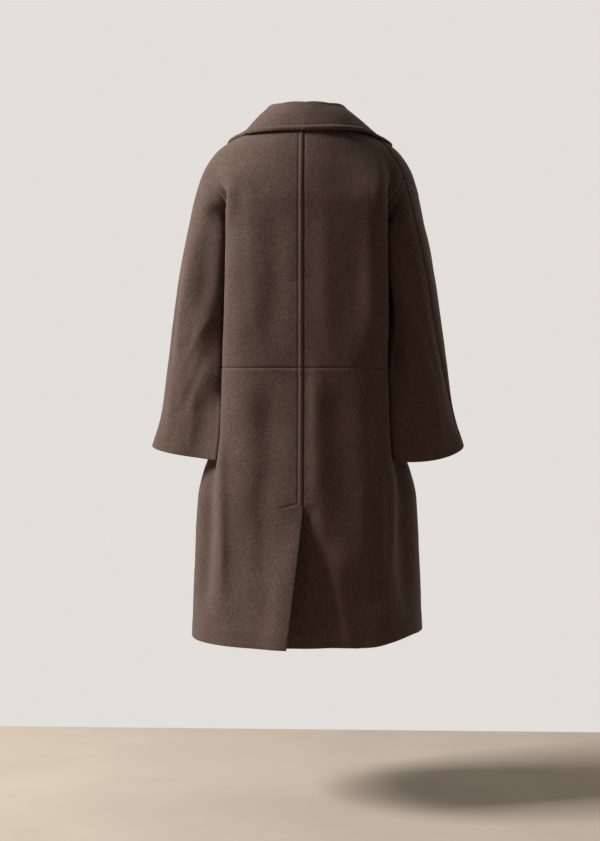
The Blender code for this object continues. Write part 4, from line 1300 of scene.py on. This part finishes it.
def clear_of_body(name, sleeve, runs, search, facing):
    """A dressed sleeve's points moved out from the dressed body where the two lie too near each other."""
    moved = sleeve.copy()
    need = half_thickness(name, runs) + WALL / 2.0 + CONTACT_GAP
    for at in np.ndindex(sleeve.shape[:2]):
        near, index, _ = search.find(sleeve[at])
        away = sleeve[at] - np.array(near)
        gap = np.dot(away, facing[index])
        free = 1.0 - ease(np.linalg.norm(away - facing[index] * gap), *CONTACT_REACH)
        free *= off_armhole(sleeve[at][2], runs[3][at])
        short = min((need[at] - gap) / CONTACT_SOFTNESS, 50.0)
        moved[at] += facing[index] * free * CONTACT_SOFTNESS * math.log1p(math.exp(short))
    return moved


def dressed_grids(grids, normals):
    """Every piece's points with its surface detail, the sleeves kept clear of the body."""
    shaped = {name: pushed(name, grid, normals[name]) for name, grid in grids.items()}
    for where in ("left", "right"):
        search, facing = body_search(where, shaped, normals)
        for name in (f"sleeve_back_{where}", f"sleeve_front_{where}"):
            shaped[name] = clear_of_body(name, shaped[name], border_runs(grids[name]), search, facing)
    return shaped


def add_cloth(wool, thread):
    """All cloth pieces with their stitches; returns every piece's outer surface and normals."""
    grids = cloth_grids()
    normals, back_off = seam_normals(grids)
    normals = {name: -normal if turned(name) else normal for name, normal in normals.items()}
    shaped = dressed_grids(grids, normals)
    surfaces = {}
    for name, grid in grids.items():
        runs = border_runs(grid)
        half = half_thickness(name, runs)
        moved, rim_ways = drawn_in(name, shaped[name], normals[name], back_off[name], half)
        made = add_object(f"{name}_cloth", shell_mesh(name, moved, normals[name], half, rim_ways), wool)
        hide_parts(name)
        outer = shaped[name] + normals[name] * half[:, :, None]
        surfaces[name] = (outer, normals[name])
        add_stitches(name, outer, normals[name], runs, thread)
    return surfaces


def add_stitches(name, outer, normals, runs, thread):
    """The stitches of one piece."""
    lines = {}
    for k, (piece, border, low, high, _) in enumerate(STITCHED):
        if piece == name:
            lines[f"stitches_{name}_{k}"] = stitch_line(outer, normals, runs[border], low, high)
    if name == "back_lower_left":
        lines["stitches_vent"] = vent_stitch_line(outer, normals)
    for label, (line, facing) in lines.items():
        made = add_object(label, stitch_mesh(label, line, facing), thread)


def lathe(profile, segments):
    """Points and faces of a profile of radius and height turned about Z, closed on the axis at both ends."""
    points = [(0.0, 0.0, profile[0][1])]
    for radius, height in profile[1:-1]:
        for k in range(segments):
            a = 2.0 * math.pi * k / segments
            points.append((radius * math.cos(a), radius * math.sin(a), height))
    points.append((0.0, 0.0, profile[-1][1]))
    faces = []
    rings = len(profile) - 2
    for k in range(segments):
        after = (k + 1) % segments
        faces.append((0, 1 + after, 1 + k))
        for r in range(rings - 1):
            low, high = 1 + r * segments, 1 + (r + 1) * segments
            faces.append((low + k, low + after, high + after, high + k))
        top = 1 + (rings - 1) * segments
        faces.append((top + k, top + after, len(points) - 1))
    return points, faces


def button_blank():
    """A turned button with a rounded rim and a dished middle, not yet pierced."""
    top, radius = BUTTON_THICKNESS, BUTTON_RADIUS
    profile = [(0.0, 0.0), (radius * 0.55, 0.0)]
    profile += [(radius - inset, height) for inset, height in BUTTON_SIDE]
    profile += [(radius - inset, top - depth) for inset, depth in BUTTON_TOP]
    profile.append((0.0, top - DISH_DEPTH))
    return mesh_of("button_disc", [lathe(profile, BUTTON_SEGMENTS)])


def button_pins():
    """Four upright pins that cut a button's holes."""
    foot, top = -0.001, 0.008
    points, faces = lathe([(0.0, foot), (HOLE_RADIUS, foot), (HOLE_RADIUS, top), (0.0, top)], HOLE_SEGMENTS)
    places = [(x * HOLE_SPREAD, y * HOLE_SPREAD) for x, y in ((1, 1), (1, -1), (-1, 1), (-1, -1))]
    return mesh_of("button_pins", [([(p[0] + x, p[1] + y, p[2]) for p in points], faces) for x, y in places])


def button_mesh():
    """A turned button with its four holes."""
    blank = bpy.data.objects.new("button_blank", button_blank())
    bpy.context.scene.collection.objects.link(blank)
    pins = bpy.data.objects.new("button_holes", button_pins())
    bpy.context.scene.collection.objects.link(pins)
    cut = blank.modifiers.new("holes", "BOOLEAN")
    cut.operation = "DIFFERENCE"
    cut.solver = "EXACT"
    cut.object = pins
    bpy.context.view_layer.update()
    made = bpy.data.meshes.new_from_object(blank.evaluated_get(bpy.context.evaluated_depsgraph_get()))
    made.materials.clear()
    made.shade_smooth()
    made.set_sharp_from_angle(angle=math.radians(40.0))
    for old in (blank, pins):
        bpy.data.objects.remove(old)
    return made


def button_thread_mesh():
    """Two bars of doubled thread over a button's holes."""
    parts = []
    height = BUTTON_THICKNESS - DISH_DEPTH
    for y in (-HOLE_SPREAD, HOLE_SPREAD):
        for slip in (-BAR_SLIP, BAR_SLIP):
            start, end = (np.array([x, y + slip, height]) for x in (-HOLE_SPREAD, HOLE_SPREAD))
            parts.append(capsule(start, end, np.array([0.0, 0.0, 1.0]), BAR_RADIUS, BAR_LIFT))
    return mesh_of("button_thread", parts)


def button_seat(surfaces, x, level):
    """Where a button sits on the right front's cloth, and the way it faces."""
    outer, normals = surfaces["front_upper_right" if level > WAIST else "front_lower_right"]
    flat, facing = outer.reshape(-1, 3), normals.reshape(-1, 3)
    near = np.argsort(np.hypot(flat[:, 0] - x, flat[:, 2] - level))[:BUTTON_NEIGHBOURS]
    way = Vector(facing[near].mean(axis=0)).normalized()
    reach = max((Vector(flat[k]) - Vector((x, 0.0, level))).dot(way) for k in near)
    return Vector((x, (reach + BUTTON_GAP) / way.y, level)), way


def add_buttons(surfaces, horn, thread):
    """Six buttons in two columns, each set square on the right front's cloth."""
    disc, bars = button_mesh(), button_thread_mesh()
    disc.materials.append(horn)
    bars.materials.append(thread)
    for row, level in enumerate(BUTTON_LEVELS, start=1):
        for where, x in (("left", BUTTON_COLUMN_X), ("right", -BUTTON_COLUMN_X)):
            name = f"button_{row}_{where}"
            place, way = button_seat(surfaces, x, level)
            for label, mesh, slot in (("turned", disc, "horn"), ("thread", bars, "wool")):
                made = bpy.data.objects.new(f"{name}_{label}", mesh)
                made.location = place
                made.rotation_euler = way.to_track_quat("Z", "Y").to_euler()
                bpy.context.scene.collection.objects.link(made)
                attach(made, "root")
                if mesh is disc:
                    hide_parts(name)


# A mix node's sockets for colours: the share, and the two that are mixed.
MIX_SOCKETS = (0, 6, 7)


def node(tree, kind, **values):
    """A shader node with its settings and socket values."""
    made = tree.nodes.new(kind)
    for name, value in values.items():
        if hasattr(made, name):
            setattr(made, name, value)
        else:
            made.inputs[name.replace("_", " ")].default_value = value
    return made


def ramp(tree, source, *stops):
    """A colour ramp from a source socket."""
    made = tree.nodes.new("ShaderNodeValToRGB")
    elements = made.color_ramp.elements
    while len(elements) < len(stops):
        elements.new(0.5)
    for element, (at, colour) in zip(elements, stops):
        element.position = at
        element.color = (*colour, 1.0)
    tree.links.new(source, made.inputs["Fac"])
    return made


def mixed(tree, blend, share, first, second):
    """Two colours mixed; each of the three is a socket or a fixed value."""
    made = node(tree, "ShaderNodeMix", data_type="RGBA", blend_type=blend)
    for source, socket in zip((share, first, second), (made.inputs[k] for k in MIX_SOCKETS)):
        if isinstance(source, bpy.types.NodeSocket):
            tree.links.new(source, socket)
        else:
            socket.default_value = source
    return made.outputs[2]


def new_material(name, roughness):
    """A material with one principled shader; returns it with its tree, shader and place socket."""
    made = bpy.data.materials.new(name)
    made.use_nodes = True
    tree = made.node_tree
    shader = tree.nodes["Principled BSDF"]
    shader.inputs["Roughness"].default_value = roughness
    place = tree.nodes.new("ShaderNodeTexCoord").outputs["Object"]
    return made, tree, shader, place


def noise_at(tree, place, scale, detail, roughness=0.6):
    """A noise texture on a place socket."""
    made = node(tree, "ShaderNodeTexNoise", Scale=scale, Detail=detail, Roughness=roughness)
    tree.links.new(place, made.inputs["Vector"])
    return made.outputs["Fac"]


def clouds(tree, place, scale, detail, low, high, roughness=0.6):
    """A colour socket that runs over a noise from one colour to another, each with its place on the ramp."""
    return ramp(tree, noise_at(tree, place, scale, detail, roughness), low, high).outputs["Color"]


def clouded_material(name, roughness, scale, detail, low, high):
    """A material whose colour runs in clouds from one to another, returned as new_material returns it."""
    made, tree, shader, place = new_material(name, roughness)
    tree.links.new(clouds(tree, place, scale, detail, low, high), shader.inputs["Base Color"])
    return made, tree, shader, place


def add_bump(tree, shader, height, strength, distance):
    """Fine relief on a shader, from a height socket."""
    bump = node(tree, "ShaderNodeBump", Strength=strength, Distance=distance)
    tree.links.new(height, bump.inputs["Height"])
    tree.links.new(bump.outputs["Normal"], shader.inputs["Normal"])


# Colours of the wool's fibres, the thread, the horn and the floor, and the two ends of a mask.
DARK_FIBRE = (0.040, 0.0232, 0.0170)
MIDDLE_FIBRE = (0.094, 0.0608, 0.0488)
PALE_FIBRE = (0.150, 0.100, 0.080)
SHADED_WOOL = (0.86, 0.85, 0.84)
DARK_THREAD = (0.050, 0.035, 0.028)
PALE_THREAD = (0.100, 0.073, 0.060)
DARK_HORN = (0.020, 0.013, 0.010)
PALE_HORN = (0.085, 0.055, 0.038)
DARK_FLOOR = (0.30, 0.25, 0.20)
PALE_FLOOR = (0.34, 0.285, 0.23)
NONE = (0.0, 0.0, 0.0)
FULL = (1.0, 1.0, 1.0)


def wool_material():
    """Felted melange wool: mottled brown with pale and dark fibres and a soft nap."""
    made, tree, shader, place = new_material("wool_cloth", 0.95)
    ground = clouds(tree, place, 210.0, 6.0, (0.30, DARK_FIBRE), (0.70, MIDDLE_FIBRE), 0.7)
    broad = clouds(tree, place, 16.0, 3.0, (0.30, SHADED_WOOL), (0.70, FULL))
    tone = mixed(tree, "MULTIPLY", 1.0, ground, broad)
    fleck = clouds(tree, place, 620.0, 2.0, (0.66, NONE), (0.74, FULL), 0.5)
    colour = mixed(tree, "MIX", fleck, tone, (*PALE_FIBRE, 1.0))
    tree.links.new(colour, shader.inputs["Base Color"])
    add_bump(tree, shader, noise_at(tree, place, 900.0, 5.0, 0.75), 0.55, 0.0006)
    shader.inputs["Sheen Weight"].default_value = 0.12
    shader.inputs["Sheen Roughness"].default_value = 0.5
    shader.inputs["Sheen Tint"].default_value = (0.80, 0.70, 0.62, 1.0)
    shader.inputs["Specular IOR Level"].default_value = 0.18
    return made


def thread_material():
    """Sewing thread: the wool's brown, a little darker, with a fine twist."""
    stops = (0.35, DARK_THREAD), (0.70, PALE_THREAD)
    made, _, shader, _ = clouded_material("thread", 0.75, 1400.0, 2.0, *stops)
    shader.inputs["Specular IOR Level"].default_value = 0.25
    return made


def horn_material():
    """Dark polished horn with faint paler clouds."""
    stops = (0.35, DARK_HORN), (0.75, PALE_HORN)
    made, tree, shader, place = clouded_material("horn_polished", 0.32, 110.0, 4.0, *stops)
    add_bump(tree, shader, noise_at(tree, place, 700.0, 3.0), 0.08, 0.0002)
    return made


# Studio: the floor, the camera's place and lens, the key light, and the surround's two sides.
FLOOR_LEVEL = -1.484
FLOOR_END_Y = -0.625
FLOOR_REACH = 9.0
EYE_LEVEL = -0.528
EYE_DISTANCE = 3.4
EYE_AZIMUTH = 182.5
FOCAL_PIXELS = 1545.0
IMAGE_HEIGHT = 841.0
HORIZON_ABOVE_MIDDLE = 55.5
AXIS_PIXEL_OFFSET = -7.0
SENSOR = 36.0
KEY_AIM = Vector((0.0, 0.0, -0.55))
KEY_WAY = Vector((0.77, 0.18, 0.60))
KEY_DISTANCE = 4.4
KEY_SIZE = 1.3
KEY_POWER = 475.0
KEY_COLOUR = (0.98, 0.99, 1.0)
FAR_SIDE = (0.770, 0.735, 0.700)
NEAR_SIDE = (0.180, 0.140, 0.090)


def add_floor():
    """A pale matt floor with faint clouds, which ends where the photograph's floor meets its wall."""
    far = [(-FLOOR_REACH, FLOOR_END_Y, 0.0), (FLOOR_REACH, FLOOR_END_Y, 0.0)]
    near = [(FLOOR_REACH, FLOOR_REACH, 0.0), (-FLOOR_REACH, FLOOR_REACH, 0.0)]
    floor = mesh_of("floor", [(far + near, [(0, 1, 2, 3)])])
    surface = clouded_material("floor", 0.9, 2.5, 4.0, (0.30, DARK_FLOOR), (0.70, PALE_FLOOR))[0]
    ground = add_object("floor", floor, surface, body=False)
    ground.location.z = FLOOR_LEVEL


def add_key_light():
    """A large soft light, high on the left of the picture and little in front of the coat's back."""
    lamp = bpy.data.lights.new("key", "AREA")
    lamp.size = KEY_SIZE
    lamp.energy = KEY_POWER
    lamp.color = KEY_COLOUR
    key = bpy.data.objects.new("key", lamp)
    key.location = KEY_AIM + KEY_WAY.normalized() * KEY_DISTANCE
    key.rotation_euler = (KEY_AIM - key.location).to_track_quat("-Z", "Y").to_euler()
    bpy.context.scene.collection.objects.link(key)


def add_surround():
    """A surround pale beyond the coat, as the photograph's wall is, and dim and warm on its near side."""
    world = bpy.data.worlds.new("surround")
    world.use_nodes = True
    tree = world.node_tree
    split = tree.nodes.new("ShaderNodeSeparateXYZ")
    tree.links.new(tree.nodes.new("ShaderNodeTexCoord").outputs["Generated"], split.inputs["Vector"])
    share = node(tree, "ShaderNodeMapRange", From_Min=-0.35, From_Max=0.35)
    tree.links.new(split.outputs["Y"], share.inputs["Value"])
    tone = ramp(tree, share.outputs["Result"], (0.0, FAR_SIDE), (1.0, NEAR_SIDE))
    tree.links.new(tone.outputs["Color"], tree.nodes["Background"].inputs["Color"])
    bpy.context.scene.world = world
    bpy.context.scene.view_settings.view_transform = "Standard"


def add_camera():
    """The camera at the photograph's place: level with the waist, straight behind, tilted a little down."""
    lens = bpy.data.cameras.new("camera")
    lens.sensor_fit = "VERTICAL"
    lens.sensor_width = SENSOR
    lens.sensor_height = SENSOR
    lens.lens = SENSOR * FOCAL_PIXELS / IMAGE_HEIGHT
    lens.shift_x = AXIS_PIXEL_OFFSET / IMAGE_HEIGHT
    eye = bpy.data.objects.new("camera", lens)
    angle = math.radians(EYE_AZIMUTH)
    way = Vector((math.sin(angle), -math.cos(angle), 0.0))
    eye.location = way * EYE_DISTANCE + Vector((0.0, 0.0, EYE_LEVEL))
    drop = EYE_DISTANCE * HORIZON_ABOVE_MIDDLE / FOCAL_PIXELS
    aim = Vector((0.0, 0.0, EYE_LEVEL - drop))
    eye.rotation_euler = (aim - eye.location).to_track_quat("-Z", "Y").to_euler()
    bpy.context.scene.collection.objects.link(eye)
    bpy.context.scene.camera = eye


def build():
    """The dressed coat in its studio."""
    for old in list(bpy.data.objects):
        bpy.data.objects.remove(old)
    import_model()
    thread = thread_material()
    surfaces = add_cloth(wool_material(), thread)
    add_buttons(surfaces, horn_material(), thread)
    add_floor()
    add_key_light()
    add_surround()
    add_camera()


build()
